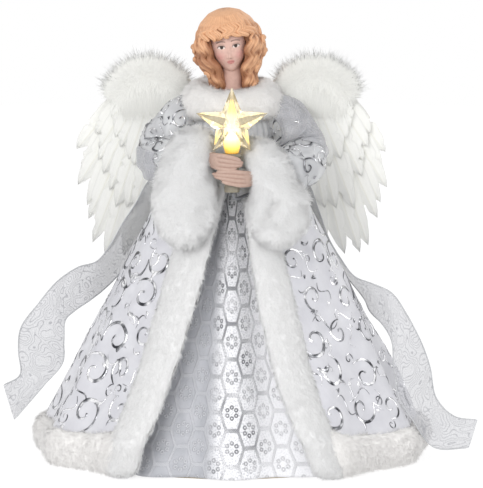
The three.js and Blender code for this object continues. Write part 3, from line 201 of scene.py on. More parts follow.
def piece(name, bm, stuff, body=FIGURE, stands_for=(), thick=0, merge=True):
    """Turns a bmesh into a finished piece of the part."""
    if merge:
        bmesh.ops.remove_doubles(bm, verts=bm.verts, dist=0.003 * MM)
        bmesh.ops.recalc_face_normals(bm, faces=bm.faces)
    return dress(name, mesh_of(name, bm), stuff, body, stands_for, thick)


def dress(name, mesh, stuff, body, stands_for=(), thick=0):
    mesh.shade_smooth()
    mesh.materials.append(stuff)
    made = add_object(name, mesh)
    if thick:
        wall = made.modifiers.new("cloth", "SOLIDIFY")
        wall.thickness, wall.offset = thick * MM, 0
    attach(made, body)
    if stands_for:
        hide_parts(*stands_for)
    return made


def mark_all(made, spot):
    """Puts the whole piece at one place of its material's map."""
    layer = made.data.uv_layers[0].data
    layer.foreach_set("uv", np.tile(spot, len(layer)).astype(np.float32))


# Materials

def colour(code):
    parts = [int(code[k:k + 2], 16) / 255 for k in (1, 3, 5)]
    return (*(c / 12.92 if c <= 0.04045 else ((c + 0.055) / 1.055) ** 2.4 for c in parts), 1)


def feed(sockets, values):
    """Links each socket to the output that is its value, or sets the value; a text is a colour."""
    for socket, value in zip(sockets, values):
        if isinstance(value, bpy.types.NodeSocket):
            socket.id_data.links.new(value, socket)
        else:
            socket.default_value = colour(value) if isinstance(value, str) else value


def feed_named(node, values):
    sockets = {s.name: s for s in reversed(node.inputs) if s.enabled}
    feed([sockets[name.replace("_", " ")] for name in values], values.values())


def add_node(tree, kind, *values, stops=(), **named):
    """Adds a node, given as "Kind" or "Kind SORT", and returns its first output.

    The sort is its operation or data type. Values go to the inputs in order, names with a capital to the
    inputs of that name; the other names are settings, and stops are a colour ramp's.
    """
    kind, *sort = kind.split()
    node = tree.nodes.new(f"ShaderNode{kind}")
    settings = {name: value for name, value in named.items() if name.islower()}
    sorted_by = "operation" if hasattr(node, "operation") else "data_type"
    for name, value in (*settings.items(), *((sorted_by, word) for word in sort)):
        setattr(node, name, value)
    feed([s for s in node.inputs if s.enabled], values)
    feed_named(node, {name: value for name, value in named.items() if name not in settings})
    for k, (at, code) in enumerate(stops):
        stop = node.color_ramp.elements[k] if k < 2 else node.color_ramp.elements.new(at)
        stop.position, stop.color = at, colour(code)
    return next(s for s in node.outputs if s.enabled)


def material(name, **values):
    """A new material, the function that adds its nodes, its shader and its coordinates."""
    made = bpy.data.materials.new(name)
    made.use_nodes = True
    put = partial(add_node, made.node_tree)
    shader = made.node_tree.nodes["Principled BSDF"]
    feed_named(shader, values)
    return made, put, shader, put("TexCoord").node.outputs


def lumps(size):
    """Scale of a noise on Object coordinates whose lumps are about size millimetres across.

    Maps of cloth are in millimetres themselves, so that a scale on them is 1 over the size.
    """
    return 1 / (size * MM)


def moulded(name, light, dark, size, rough, deep=0.02, **values):
    """A moulded, drawn or pressed surface: mottled colour with a fine grain."""
    made, put, shader, where = material(name, Roughness=rough, **values)
    mottle = put("TexNoise", where["Object"], lumps(size), 3)
    grit = put("TexNoise", where["Object"], lumps(size / 4), 3)
    feed_named(shader, {
        "Base Color": put("ValToRGB", mottle, stops=((0.35, dark), (0.65, light))),
        "Normal": put("Bump", Height=grit, Distance=deep * MM)})
    return made


def plush_cloth(name, root, tip, end):
    """Pile of fine soft fibre: painted shade at the root, pale and dull above, end at the very tip."""
    made, put, shader, where = material(name, Roughness=0.9, Sheen_Weight=0.2, Sheen_Roughness=0.6)
    tuft, rise, _ = put("SeparateXYZ", where["UV"]).node.outputs
    # Painted shade: the root colour is darker, as deep in the pile
    shade = put("ValToRGB", rise, stops=((0, root), (0.35, tip), (0.5, tip), (0.95, end)))
    tint = put("ValToRGB", tuft, stops=((0, "#f4f4f4"), (1, "#ffffff")))
    feed_named(shader, {"Base Color": put("Mix RGBA", 1, shade, tint, blend_type="MULTIPLY")})
    return made


def satin_cloth(name, light, dark):
    """Woven polyester satin: smooth, soft gloss, threads drawn at 0.6 mm so that they show."""
    made, put, shader, where = material(
        name, Roughness=0.38, Sheen_Weight=0.3, Sheen_Roughness=0.4, Specular_IOR_Level=0.55)
    cloud = put("TexNoise", where["Object"], lumps(14), 3)
    thread = put("TexWave", where["UV"], Scale=0.52, Distortion=0.6).node.outputs["Fac"]
    fuzz = put("TexNoise", where["Object"], lumps(2.2), 3)
    weave = put("Math MULTIPLY_ADD", thread, 0.25, fuzz)
    feed_named(shader, {
        "Base Color": put("ValToRGB", cloud, stops=((0.3, dark), (0.7, light))),
        "Normal": put("Bump", Height=weave, Distance=0.12 * MM, Strength=0.7)})
    return made


def foil_film():
    """Hot-stamped silver foil: a mirror film crinkled by the cloth under it, with painted reflection in its
    colour.
    """
    made, put, shader, where = material("silver_foil_stamped", Metallic=1.0, Roughness=0.16)
    # Painted reflection: dark, grey and white patches in the mirror film's colour
    cloud = put("TexNoise", where["Object"], lumps(9), 3)
    crinkle = put("TexNoise", where["Object"], lumps(3.5), 2)
    feed_named(shader, {
        "Base Color": put("ValToRGB", cloud, stops=((0.38, "#3f4045"), (0.48, "#a9aaae"), (0.56, "#f4f4f6"))),
        "Normal": put("Bump", Height=crinkle, Distance=0.5 * MM)})
    return made


def brocade_cloth():
    """White and silver brocade: honeycomb of dotted cord, a ring of loops in each cell, painted shade on one
    fold and painted reflection on the silver thread.
    """
    made, put, shader, where = material("brocade_honeycomb", Roughness=0.45, Sheen_Weight=0.2)
    cell_tall, cell_wide, ring_r, loop_r, loop_thick = 24.0, 14.5, 3.7, 1.05, 0.62
    shade_from, painted_glare_from, dot_turn = -9, 16, 4.2
    rise = math.sqrt(3)
    cloth_x, cloth_y, _ = put("SeparateXYZ", where["UV"]).node.outputs
    spot = put("CombineXYZ", put("Math DIVIDE", cloth_y, cell_tall), put("Math DIVIDE", cloth_x, cell_wide))

    def centred(shift):
        """Place from the middle of the nearest cell in one of the honeycomb's two sets of rows."""
        moved = put("VectorMath ADD", spot, shift)
        wrapped = put("VectorMath WRAP", moved, (0, 0, 0), (1, rise, 1))
        return put("VectorMath SUBTRACT", wrapped, (0.5, rise / 2, 0))

    def grows(value, start, gain):
        """From 0 at start up to 1, by gain for each unit."""
        return put("Math MULTIPLY_ADD", value, gain, -start * gain, use_clamp=True)

    def far(a, b):
        return put("VectorMath LENGTH", put("CombineXYZ", a, b))

    first, second = centred((0, 0, 0)), centred((0.5, rise / 2, 0))
    nearer = put("Math LESS_THAN", put("VectorMath LENGTH", second), put("VectorMath LENGTH", first))
    local = put("Mix VECTOR", nearer, first, second)
    up, across, _ = put("SeparateXYZ", local).node.outputs
    x, y = put("Math ABSOLUTE", up), put("Math ABSOLUTE", across)
    slant = put("Math MULTIPLY_ADD", y, rise / 2, put("Math MULTIPLY", x, 0.5))
    cord = grows(put("Math MAXIMUM", x, slant), 0.43, 40)
    rows, columns = (put("Math SINE", put("Math MULTIPLY", run, dot_turn)) for run in (cloth_y, cloth_x))
    dots = put("Math MULTIPLY", rows, columns)
    cord = put("Math MULTIPLY", cord, put("Math MULTIPLY_ADD", dots, 0.4, 0.75), use_clamp=True)
    # Ring of six loops round the middle of each cell, in millimetres
    up, across = put("Math MULTIPLY", up, cell_tall), put("Math MULTIPLY", across, cell_wide)
    sector = put("Math WRAP", put("Math ARCTAN2", across, up), -math.pi / 6, math.pi / 6)
    reach = far(up, across)
    out = put("Math SUBTRACT", put("Math MULTIPLY", reach, put("Math COSINE", sector)), ring_r)
    side = put("Math MULTIPLY", reach, put("Math SINE", sector))
    loop = put("Math ABSOLUTE", put("Math SUBTRACT", far(out, side), loop_r))
    loop = grows(loop, loop_thick, -2.4)
    silver = put("Math MAXIMUM", cord, loop)
    # Painted reflection: the silver thread shows white in places and dark in others, and painted glare washes
    # it and the flecks white at the right
    fleck = put("TexNoise", where["UV"], 0.9, 2)
    painted_glare = grows(cloth_x, painted_glare_from, 0.08)
    painted_reflection = grows(put("TexNoise", where["UV"], 0.035, 1), 0.4, 6)
    painted_reflection = put("Math MULTIPLY", painted_reflection, put("Math MULTIPLY_ADD", painted_glare, -0.85, 1))
    speck = put("Math MULTIPLY", grows(fleck, 0.48, 7), put("Math MULTIPLY_ADD", painted_glare, -0.7, 1))
    dark = put("Math MULTIPLY", silver, put("Math MULTIPLY_ADD", painted_reflection, 0.8, 0.12))
    bright = put("Mix RGBA", put("Math MULTIPLY", speck, 0.75), "#ebebee", "#b4b5bb")
    bright = put("Mix RGBA", dark, bright, "#5c5e64")
    # Painted shade: a greyer, flatter copy of the cloth for the fold at the left, from shade_from leftward
    cloud = put("TexNoise", where["Object"], lumps(9), 3)
    painted_fold_shade = put("ValToRGB", cloud, stops=((0.3, "#a5a7ad"), (0.7, "#b3b4ba")))
    painted_fold_shade = put("Mix RGBA", put("Math MULTIPLY", silver, 0.45), painted_fold_shade, "#dcdde1")
    feed_named(shader, {
        "Base Color": put("Mix RGBA", grows(cloth_x, shade_from, -0.09), bright, painted_fold_shade),
        "Normal": put("Bump", Height=put("Math MULTIPLY_ADD", fleck, 0.5, silver), Distance=0.4 * MM)})
    return made


def organza_cloth(name, thin, full, dark, light):
    """Sheer organza: see-through between the threads, with woven curls that are close and grey."""
    made, put, shader, where = material(name, Roughness=0.45, Sheen_Weight=0.4)
    swirl = put("Math SINE", put("Math MULTIPLY", put("TexNoise", where["UV"], 0.055, 1), 60))
    bands = put("Math MULTIPLY_ADD", put("Math ABSOLUTE", swirl), -1.9, 1, use_clamp=True)
    speck = put("TexNoise", where["UV"], 1.3, 2)
    lace = put("Math MULTIPLY", bands, put("Math MULTIPLY_ADD", speck, 1.6, -0.1), use_clamp=True)
    shade = put("ValToRGB", speck, stops=((0.35, dark), (0.65, light)))
    feed_named(shader, {
        "Base Color": put("Mix RGBA", lace, shade, "#828389"),
        "Alpha": put("Math MULTIPLY_ADD", lace, full - thin, thin),
        "Normal": put("Bump", Height=put("Math MULTIPLY_ADD", speck, 0.4, lace), Distance=0.15 * MM)})
    return made


def feather_vane():
    """Goose feather: close barbs off a pale shaft, with painted shade greying the vane at its edge."""
    made, put, shader, where = material("goose_feather", Roughness=0.6, Sheen_Weight=0.3)
    across, down, _ = put("SeparateXYZ", where["UV"]).node.outputs
    off = put("Math ABSOLUTE", put("Math SUBTRACT", across, 0.5))
    slope = put("Math MULTIPLY_ADD", off, -0.34, down)
    barb = put("Math SINE", put("Math MULTIPLY", slope, 420))
    # Painted shade: greyer toward the vane's edge
    shade = put("ValToRGB", off, stops=(
        (0, "#f4f3ea"), (0.05, "#fafaf5"), (0.4, "#f8f8f4"), (0.5, "#ecece8")))
    streak = put("Math MULTIPLY_ADD", barb, 0.05, 0.05)
    feed_named(shader, {
        "Base Color": put("Mix RGBA", streak, shade, "#b9b9b4"),
        "Normal": put("Bump", Height=barb, Distance=0.06 * MM, Strength=0.6)})
    return made


def painted(name, combed=False):
    """Cast resin under brushed acrylic paint, its colours kept on the mesh as the attribute paint."""
    made, put, shader, where = material(name, Roughness=0.5, Specular_IOR_Level=0.4)
    mark = put("Attribute", attribute_name="paint")
    streak = put("TexNoise", where["Object"], lumps(1.6), 3)
    brush = put("ValToRGB", streak, stops=((0.3, "#e6e2e0"), (0.7, "#ffffff")))
    paint = put("Mix RGBA", 0.5, mark, brush, blend_type="MULTIPLY")
    height, deep = put("TexNoise", where["Object"], lumps(0.5), 3), 0.03
    if combed:
        # Strands carved in the casting, one to each whole number across the map, as deep as the paint's alpha
        cut = mark.node.outputs["Alpha"]
        strand = put("Math MULTIPLY", put("SeparateXYZ", where["UV"]), math.pi)
        strand = put("Math ABSOLUTE", put("Math SINE", strand))
        groove = put("Math MULTIPLY_ADD", strand, -0.9, 0.45, use_clamp=True)
        # Darker brown in each groove: partly a brown wash, partly painted shade
        paint = put("Mix RGBA", put("Math MULTIPLY", groove, cut), paint, "#945c3d")
        height, deep = put("Math MULTIPLY_ADD", height, 0.1, put("Math MULTIPLY", strand, cut)), 0.2
    feed_named(shader, {"Base Color": paint, "Normal": put("Bump", Height=height, Distance=deep * MM)})
    return made


def lamp_glass():
    """Frosted lamp glass lit from inside: white-hot in the middle, amber at the base."""
    made, put, shader, where = material("frosted_lamp_glass", Roughness=0.35)
    foot, tall = 212, 36
    height = put("SeparateXYZ", where["Object"]).node.outputs["Z"]
    share = put("Math MULTIPLY", put("Math SUBTRACT", height, foot * MM), 1 / (tall * MM))
    glow = put("ValToRGB", share, stops=(
        (0, "#f0b54a"), (0.12, "#f7cf62"), (0.3, "#fdeeb0"), (0.5, "#fffbe6"), (0.9, "#fff0ac")))
    level = put("ValToRGB", share, stops=(
        (0, "#606060"), (0.25, "#c8c8c8"), (0.45, "#ffffff"), (0.85, "#d0d0d0")))
    feed_named(shader, {
        "Base Color": glow, "Emission Color": glow, "Emission Strength": put("Math MULTIPLY", level, 1.5)})
    return made


def star_acrylic():
    """Clear cast acrylic with a painted warm glow: a faint warm emission and tint standing in for the lamp's
    light behind its facets.
    """
    made, put, shader, where = material(
        "cast_acrylic_clear", Roughness=0.03, IOR=1.49, Transmission_Weight=0.95, Emission_Strength=0.05)
    cloud = put("TexNoise", where["Object"], lumps(9), 3)
    # Painted light: warm colour and faint emission for the lamp behind
    painted_lamp_glow = put("ValToRGB", cloud, stops=((0.3, "#f3dfb4"), (0.7, "#fdf6df")))
    feed_named(shader, {"Base Color": painted_lamp_glow, "Emission Color": painted_lamp_glow})
    return made


# The root colours are painted shade deep in the pile
FUR = plush_cloth("acrylic_plush_white", root="#e4e4e4", tip="#ebebeb", end="#f0f0f0")
HEM_FUR = plush_cloth("acrylic_plush_cream", root="#eeecea", tip="#f6f4f2", end="#faf8f6")
DOWN = plush_cloth("marabou_down", root="#f0f0ec", tip="#f2f2ee", end="#858583")
SATIN = satin_cloth("polyester_satin_white", light="#d0d0d5", dark="#c0c0c6")
GREY_SATIN = satin_cloth("polyester_satin_silver", light="#c6c7c9", dark="#aeafb2")
FOIL = foil_film()
BROCADE = brocade_cloth()
ORGANZA = organza_cloth("organza_ribbon", thin=0.62, full=0.95, dark="#a6a7ac", light="#c8c8cc")
LACE = organza_cloth("sheer_lace", thin=0.4, full=1.0, dark="#b4b5ba", light="#dcdce0")
FEATHER = feather_vane()
SKIN = painted("painted_resin_skin")
HAIR = painted("painted_resin_hair", combed=True)
# Dull and fibrous board, dull and porous foam, bright drawn wire
CARD = moulded("grey_board", "#c3b498", "#b3a386", size=6, rough=0.9, deep=0.05)
FOAM = moulded("foam_white", "#ece9e0", "#dedace", size=3, rough=0.95, deep=0.2)
STEEL = moulded("drawn_steel_wire", "#b9babd", "#8e8f93", size=4, rough=0.32, Metallic=1.0)
# Plastics with a soft gloss
# The socket's taupe is partly its own colour and partly painted shade: darkened so that below the hands it
# reads as the shaded gap
TAUPE_ABS = moulded("moulded_ABS_taupe", "#8f8878", "#7d7668", size=5, rough=0.4)
WHITE_ABS = moulded("moulded_ABS_white", "#e2e0da", "#d6d4cd", size=8, rough=0.45)
BLACK_ABS = moulded("moulded_ABS_black", "#2f2f31", "#232325", size=4, rough=0.5)
# The lead's grey is painted shade: dark, so that where it shows below the hands it reads as shadow
LEAD_PVC_SHADOW_GREY = moulded("pvc_lead_shadow_grey", "#7c7d81", "#6a6b6f", size=9, rough=0.45)
JACKET = moulded("printed_cell_jacket", "#3c3d41", "#2e2f33", size=10, rough=0.35)

for stuff, names in (
    (CARD, "base_cone left_wing_card right_wing_card"),
    (FOAM, "torso_form case_pad"),
    (STEEL, "arm_wire left_wing_wire right_wing_wire contact_spring_a contact_spring_b"),
    (STEEL, "contact_plate_a contact_plate_b contact_bridge"),
    (TAUPE_ABS, "lamp_socket"),
    (lamp_glass(), "bulb"),
    (star_acrylic(), "star"),
    (LEAD_PVC_SHADOW_GREY, "lamp_lead"),
    (WHITE_ABS, "wing_bracket battery_case battery_door"),
    (JACKET, "cell_a cell_b"),
    (BLACK_ABS, "switch_knob"),
):
    for name in names.split():
        nodes[name].data.materials.clear()
        nodes[name].data.materials.append(stuff)


# Camera, light and floor, in metres and watts

CAMERA_AIM, CAMERA_RISE = Vector((0.0064, 0, 0.144)), math.radians(7)
CAMERA_FAR, VIEW_WIDE, SENSOR = 3.5, 0.3309, 36
LIT_POINT = Vector((0, 0, 0.15))
LAMPS = (
    ("key", (-0.6, -1.4, 0.9), 0.8, 13),
    ("fill", (1.1, -0.9, 0.5), 0.8, 2.8),
    ("rim", (0.8, 0.9, 0.9), 0.6, 3))
WORLD_LIGHT, FLOOR_R, PAPER_GREY, PAPER_GLOW = 0.78, 2.5, 0.25, 0.82


def stage_set():
    scene = bpy.context.scene
    scene.view_settings.view_transform = "Standard"
    lens = bpy.data.cameras.new("camera")
    lens.sensor_width, lens.lens = SENSOR, SENSOR * CAMERA_FAR / VIEW_WIDE
    back = Vector((0, -math.cos(CAMERA_RISE), math.sin(CAMERA_RISE)))
    scene.camera = add_object("camera", lens, CAMERA_AIM + back * CAMERA_FAR, CAMERA_AIM)
    for name, place, size, power in LAMPS:
        light = bpy.data.lights.new(name, "AREA")
        light.size, light.energy = size, power
        add_object(name, light, place, LIT_POINT)

    # White to the eye and in gloss and glass, a little dimmer as light
    world = scene.world = bpy.data.worlds.new("studio")
    world.use_nodes = True
    put = partial(add_node, world.node_tree)
    rays = put("LightPath").node.outputs
    shown = put("Math MAXIMUM", rays["Is Camera Ray"], rays["Is Glossy Ray"])
    shown = put("Math MAXIMUM", shown, rays["Is Transmission Ray"])
    soft, white = (put("Background", "#ffffff", level) for level in (WORLD_LIGHT, 1))
    feed_named(world.node_tree.nodes["World Output"], {"Surface": put("MixShader", shown, soft, white)})

    bm = bmesh.new()
    bmesh.ops.create_circle(bm, cap_ends=True, segments=64, radius=FLOOR_R)
    mesh = mesh_of("floor", bm)
    paper = bpy.data.materials.new("white_paper_sweep")
    paper.use_nodes = True
    tree = paper.node_tree
    tree.nodes.remove(tree.nodes["Principled BSDF"])
    matt = add_node(tree, "BsdfDiffuse", (PAPER_GREY, PAPER_GREY, PAPER_GREY, 1))
    lit = add_node(tree, "Emission", Strength=PAPER_GLOW)
    feed_named(tree.nodes["Material Output"], {"Surface": add_node(tree, "AddShader", matt, lit)})
    mesh.materials.append(paper)
    add_object("floor", mesh)


stage_set()


# Robe, its angle counted from the front toward +X

FOLDS, FOLD_DEPTH = 11, 3.4
CLOTH_OUT, HEM_TUCK = 0.6, 6
CREASE_DEPTH, CREASE_PITCH = 1.9, 26
SIDE_SEAM = math.radians(100)
# Front edges in degrees: at the top, and further round at the ground
FRONT_EDGES = {-1: (27.2, 9), 1: (21.4, 10.5)}
# On a panel's flat blank, laid out by its mean width and its slant: how far the foil stands off, its
# thickness, and how far apart its rows and its sprays are
FOIL_PROUD, FOIL_THICK, FOIL_ROW, FOIL_STEP = 0.55, 0.12, 27.0, 30


def robe_point(angle, z, out):
    w, d, _ = along(ROBE, z)
    rise = np.clip((z - HEM_Z) / (TOP_Z - HEM_Z), 0, 1)
    wave = FOLD_DEPTH * (1 - rise) ** 2 * np.cos(FOLDS * angle) + out
    return stack((w + wave) * np.sin(angle), -(d + wave) * np.cos(angle), z)


def robe_drop(angle, z, out):
    """The same, straight down below the hem."""
    return robe_point(angle, np.maximum(z, HEM_Z), out) * (1, 1, 0) + stack(0, 0, z)


def mean_radius(z):
    return along(ROBE, z)[2]


def trim_half(z):
    return np.interp(z / TOP_Z, (0.55, 1), (14, 7))


def edge_angle(side, z):
    top, spread = FRONT_EDGES[side]
    return side * np.radians(top + spread * (1 - np.clip(z, 0, TOP_Z) / TOP_Z) ** 4)


def beside_trim(side, z):
    place = robe_point(edge_angle(side, z), z, 0)
    return edge_angle(side, z) + side * (trim_half(z) + 0.3) / np.hypot(place[..., 0], place[..., 1])


def crease(a, z):
    """Thin creases that ride on the folds."""
    return CREASE_DEPTH * ripple(a * 90, z * 0.3, 5, CREASE_PITCH) * fade(TOP_Z, HEM_Z + 40, z)


def panel_edges(side):
    if side:
        return (lambda z: beside_trim(side, z) - side * 0.05), (lambda z: side * SIDE_SEAM + 0 * z)
    return (lambda z: SIDE_SEAM + 0 * z), (lambda z: math.tau - SIDE_SEAM + 0 * z)


# Figures of the foil, drawn flat about their own middle: place across, place up, half width

def scroll_figure(v, turns, hand):
    reach = 0.1 + 0.9 * (1 - v) ** 0.85
    turn = hand * math.tau * turns * v
    wide = 0.028 + 0.07 * np.sin(np.pi * v ** 0.7) ** 1.5 + 0.06 * bump(v, 0.97, 0.04)
    return reach * np.cos(turn), reach * np.sin(turn), wide * np.minimum(1, 20 * (1.005 - v))


def comma_figure(v, hand):
    turn = hand * 2.5 * v
    return np.cos(turn), np.sin(turn), 0.3 * np.sin(np.pi * v ** 0.55) ** 1.2 + 0.004


def vine_figure(v, hand):
    sway = 0.5 * hand * np.sin(math.tau * (v - 0.5))
    return 2.4 * (v - 0.5), sway, 0.012 + 0.045 * np.sin(np.pi * v)


def leaf_figure(v, hand):
    return 1.2 * (v - 0.2), 0.25 * hand * v * v, 0.17 * np.sin(np.pi * v ** 0.8) + 0.003


def stamp(bm, to_cloth, figure, at, size, turn, steps):
    """Lays one foil figure on the cloth as a narrow band."""
    x, y, wide = figure(np.linspace(0, 1, steps + 1))
    slope = np.arctan2(np.gradient(y), np.gradient(x))

    def place(u, v):
        k = np.rint(v * steps).astype(int)
        aside = (2 * u - 1) * wide[k]
        across, up = turned(x[k] - aside * np.sin(slope[k]), y[k] + aside * np.cos(slope[k]), turn)
        return to_cloth(at[0] + size * across, at[1] + size * up)

    lay(bm, 1, steps, place)


def foil_sprays(name, spots, rng, to_cloth, scale=1.0):
    """One spray at each spot: a large scroll, a curl back off its end, a comma, a vine and three leaves."""
    bm = bmesh.new()
    put_on = partial(stamp, bm, to_cloth)
    for spot in spots:
        hand = rng.choice((-1, 1))
        size = scale * rng.uniform(9, 14)
        turn = rng.uniform(0, math.tau)

        def beside(angle, reach):
            return np.array(spot) + size * reach * np.array((math.cos(turn + angle), math.sin(turn + angle)))

        put_on(partial(scroll_figure, turns=1.2, hand=hand), spot, size, turn, 32)
        curl = rng.uniform(0.38, 0.5) * size
        put_on(partial(scroll_figure, turns=1.15, hand=-hand), beside(0, 1.45), curl, turn + math.pi, 22)
        put_on(partial(comma_figure, hand=hand), beside(2.4 * hand, 1.15), 0.4 * size, turn + 1.2, 14)
        put_on(partial(vine_figure, hand=-hand), beside(-1.7 * hand, 1.3), 0.7 * size, turn + 0.6, 16)
        for k in range(3):
            way = turn + hand * (0.9 + 0.5 * k)
            put_on(partial(leaf_figure, hand=hand), beside(-1.1 * hand, 1.6), 0.3 * size, way, 8)
    piece(name, bm, FOIL, thick=FOIL_THICK, merge=False)


def robe():
    rng = np.random.default_rng(12)
    for word, side, across in (("left_front", -1, 60), ("right_front", 1, 60), ("back", 0, 150)):
        start, end = panel_edges(side)

        def spot(u, v):
            z = lerp(HEM_Z - HEM_TUCK, TOP_Z, v)
            return lerp(start(z), end(z), u), z

        def place(u, v):
            a, z = spot(u, v)
            return robe_drop(a, z, CLOTH_OUT + crease(a, z))

        def flat(u, v):
            a, z = spot(u, v)
            return a * mean_radius(z), z / DROP

        def to_cloth(across_mm, up_mm):
            z = np.clip(HEM_Z + up_mm * DROP, HEM_Z - 2, TOP_Z)
            first, last = start(z), end(z)
            turn = np.clip(across_mm / mean_radius(z), 0.02, abs(last - first) - 0.02)
            a = first + np.sign(last - first) * turn
            return robe_point(a, z, CLOTH_OUT + FOIL_PROUD + crease(a, z))

        panel = piece(f"robe_{word}_satin", grid(across, 84, place, flat), SATIN,
                      stands_for=[f"robe_{word}"], thick=0.7)
        wide = 0.5 * abs(float(end(HEM_Z) - start(HEM_Z))) * (HEM_R + HIP_R)
        spots = []
        for row, up in enumerate(np.arange(16, SLANT - 8, FOIL_ROW)):
            z = HEM_Z + up * DROP
            width = abs(float(end(z) - start(z))) * float(mean_radius(z))
            count = max(2, round(width / FOIL_STEP))
            for k in range(count):
                share = (k + 0.35 + 0.3 * (row % 2)) / count
                spots.append((share * width + rng.uniform(-3, 3), up + rng.uniform(-4, 4)))
        foil_sprays(f"robe_{word}_foil", spots, rng, to_cloth)


SKIRT_FOOT, SKIRT_TOP = 0.8, 184
PLEATS, PLEAT_DEPTH = 12, 9


def skirt():
    def cone_radius(z):
        return lerp(CONE_R, CONE_TOP_R, z / CONE_TOP)

    def place(u, v):
        z, a = lerp(SKIRT_FOOT, SKIRT_TOP, v), math.tau * (u - 0.5)
        pleat = (1 + np.cos(PLEATS * a)) / 2
        uneven = 0.9 * ripple(a * 80, z * 0.4, 9, 30) * (1 - 0.8 * v)
        r = cone_radius(z) + 0.9 + (PLEAT_DEPTH * (1 - 0.9 * v) + uneven) * pleat
        return stack(r * np.sin(a), -r * np.cos(a), z)

    def flat(u, v):
        z = lerp(3, SKIRT_TOP, v)
        r = lerp(cone_radius(z) + 4, CONE_R + 4, 0.5)
        return math.tau * (u - 0.5) * r * 1.06, z * 1.084

    made = piece("brocade_skirt", grid(360, 70, place, flat), BROCADE,
                 stands_for=["inner_skirt"], thick=0.6)


# Fur: a plump backing under a pile of fine tufts

TUFTS_TO_A_CLUMP, CLUMP_PULL, TUFT_HALF = 14, 0.3, 0.22
LEAST_Z = 0.4  # no tuft hangs lower


def surface_spots(mesh, count, rng):
    """Random places on a mesh, evenly spread, and the way that it faces there."""
    def read(items, key, kind):
        values = np.zeros(3 * len(items), kind)
        items.foreach_get(key, values)
        return values.reshape(-1, 3)

    mesh.calc_loop_triangles()
    corners = read(mesh.loop_triangles, "vertices", int)
    points = read(mesh.vertices, "co", float) / MM
    facing = read(mesh.vertices, "normal", float)
    a, b, c = points[corners].transpose(1, 0, 2)
    area = np.linalg.norm(np.cross(b - a, c - a), axis=1)
    pick = corners[rng.choice(len(corners), count, p=area / area.sum())]
    share = rng.random((count, 2))
    share[share.sum(1) > 1] = 1 - share[share.sum(1) > 1]
    share = np.c_[1 - share.sum(1), share][:, :, None]
    return (points[pick] * share).sum(1), (facing[pick] * share).sum(1)


def pile(name, rings, tips, facing, wide, stuff, body, shade, tint):
    """Tufts as closed three-sided spikes that take the light of the surface they stand on."""
    count, levels = len(tips), len(rings)
    way = unit(tips - rings[0])
    side = unit(np.cross(way, facing)) * wide[:, None]
    ridge = unit(np.cross(side, way)) * 0.6 * wide[:, None]
    points = []
    for level, ring in enumerate(rings):
        slim = 1 - 0.35 * level
        points += [ring - slim * side, ring + slim * side, ring + slim * ridge]
    points = np.stack([*points, tips], axis=1)
    points[..., 2] = np.maximum(points[..., 2], LEAST_Z)
    faces = []
    for level in range(levels):
        low, high = 3 * level, 3 * level + 3
        for k, m in ((0, 1), (1, 2), (2, 0)):
            if level + 1 == levels:
                faces.append((low + m, low + k, high))
            else:
                faces += [(low + m, low + k, high + k), (low + m, high + k, high + m)]
    size = 3 * levels + 1
    faces = np.array(faces)[None] + size * np.arange(count)[:, None, None]
    mesh = bpy.data.meshes.new(name)
    mesh.from_pydata((points.reshape(-1, 3) * MM).tolist(), [], faces.reshape(-1, 3).tolist())
    # Map: the tuft's tint across, root to tip up, with some width so that it bakes
    rise = np.r_[np.repeat(np.linspace(0.03, 0.6, levels) if levels > 1 else [0.03], 3), 0.97]
    spread = np.r_[np.tile((-0.012, 0.012, 0.0), levels), 0.0]
    across, up = 0.015 + 0.97 * tint[:, None] + spread, shade[:, None] * rise
    marks = np.stack([across.ravel(), up.ravel()], axis=1)
    corner = np.zeros(len(mesh.loops), int)
    mesh.loops.foreach_get("vertex_index", corner)
    layer = mesh.uv_layers.new(name="OFBake")
    layer.data.foreach_set("uv", marks[corner].astype(np.float32).ravel())
    made = dress(name, mesh, stuff, body)
    made.visible_shadow = False
    mesh.normals_split_custom_set_from_vertices(np.repeat(unit(facing), size, axis=0).tolist())


def fur(node, bm, stuff, count, length, seed, keep=None, fuzz=0.5):
    """Backing in the shape of bm, then its pile, combed down and drawn into soft clumps."""
    backing = piece(f"{node}_backing", bm, stuff, stands_for=[node])
    mark_all(backing, (0.5, 0.5))
    rng = np.random.default_rng(seed)
    roots, facing = surface_spots(backing.data, count, rng)
    if keep is not None:
        held = keep(roots, facing)
        roots, facing = roots[held], facing[held]
    count = len(roots)
    way = np.array((0, 0, -1.0)) + fuzz * rng.normal(size=(count, 3))
    stand = rng.uniform(0.2, 0.6, count) + (rng.random(count) < 0.2) * 0.7
    way = unit(unit(way - facing * (way * facing).sum(1, keepdims=True)) + stand[:, None] * facing)
    tips = roots + way * length * rng.uniform(0.6, 1.2, count)[:, None]
    # Every tip leans to the tip of the clump that it grows nearest to
    heads = max(1, count // TUFTS_TO_A_CLUMP)
    tree = kdtree.KDTree(heads)
    for k in range(heads):
        tree.insert(roots[k], k)
    tree.balance()
    nearest = np.array([tree.find(r)[1] for r in roots])
    tips = lerp(tips, tips[nearest], CLUMP_PULL)
    light = unit(facing + 0.15 * way + 0.1 * rng.normal(size=(count, 3)))
    wide = TUFT_HALF * rng.uniform(0.7, 1.3, count)
    pile(f"{node}_pile", [roots], tips, light, wide, stuff, FIGURE, np.ones(count), rng.random(count))


TRIM_DEEP, SPREAD_Z, SPREAD_TALL = (8, 5.6), 75, 106


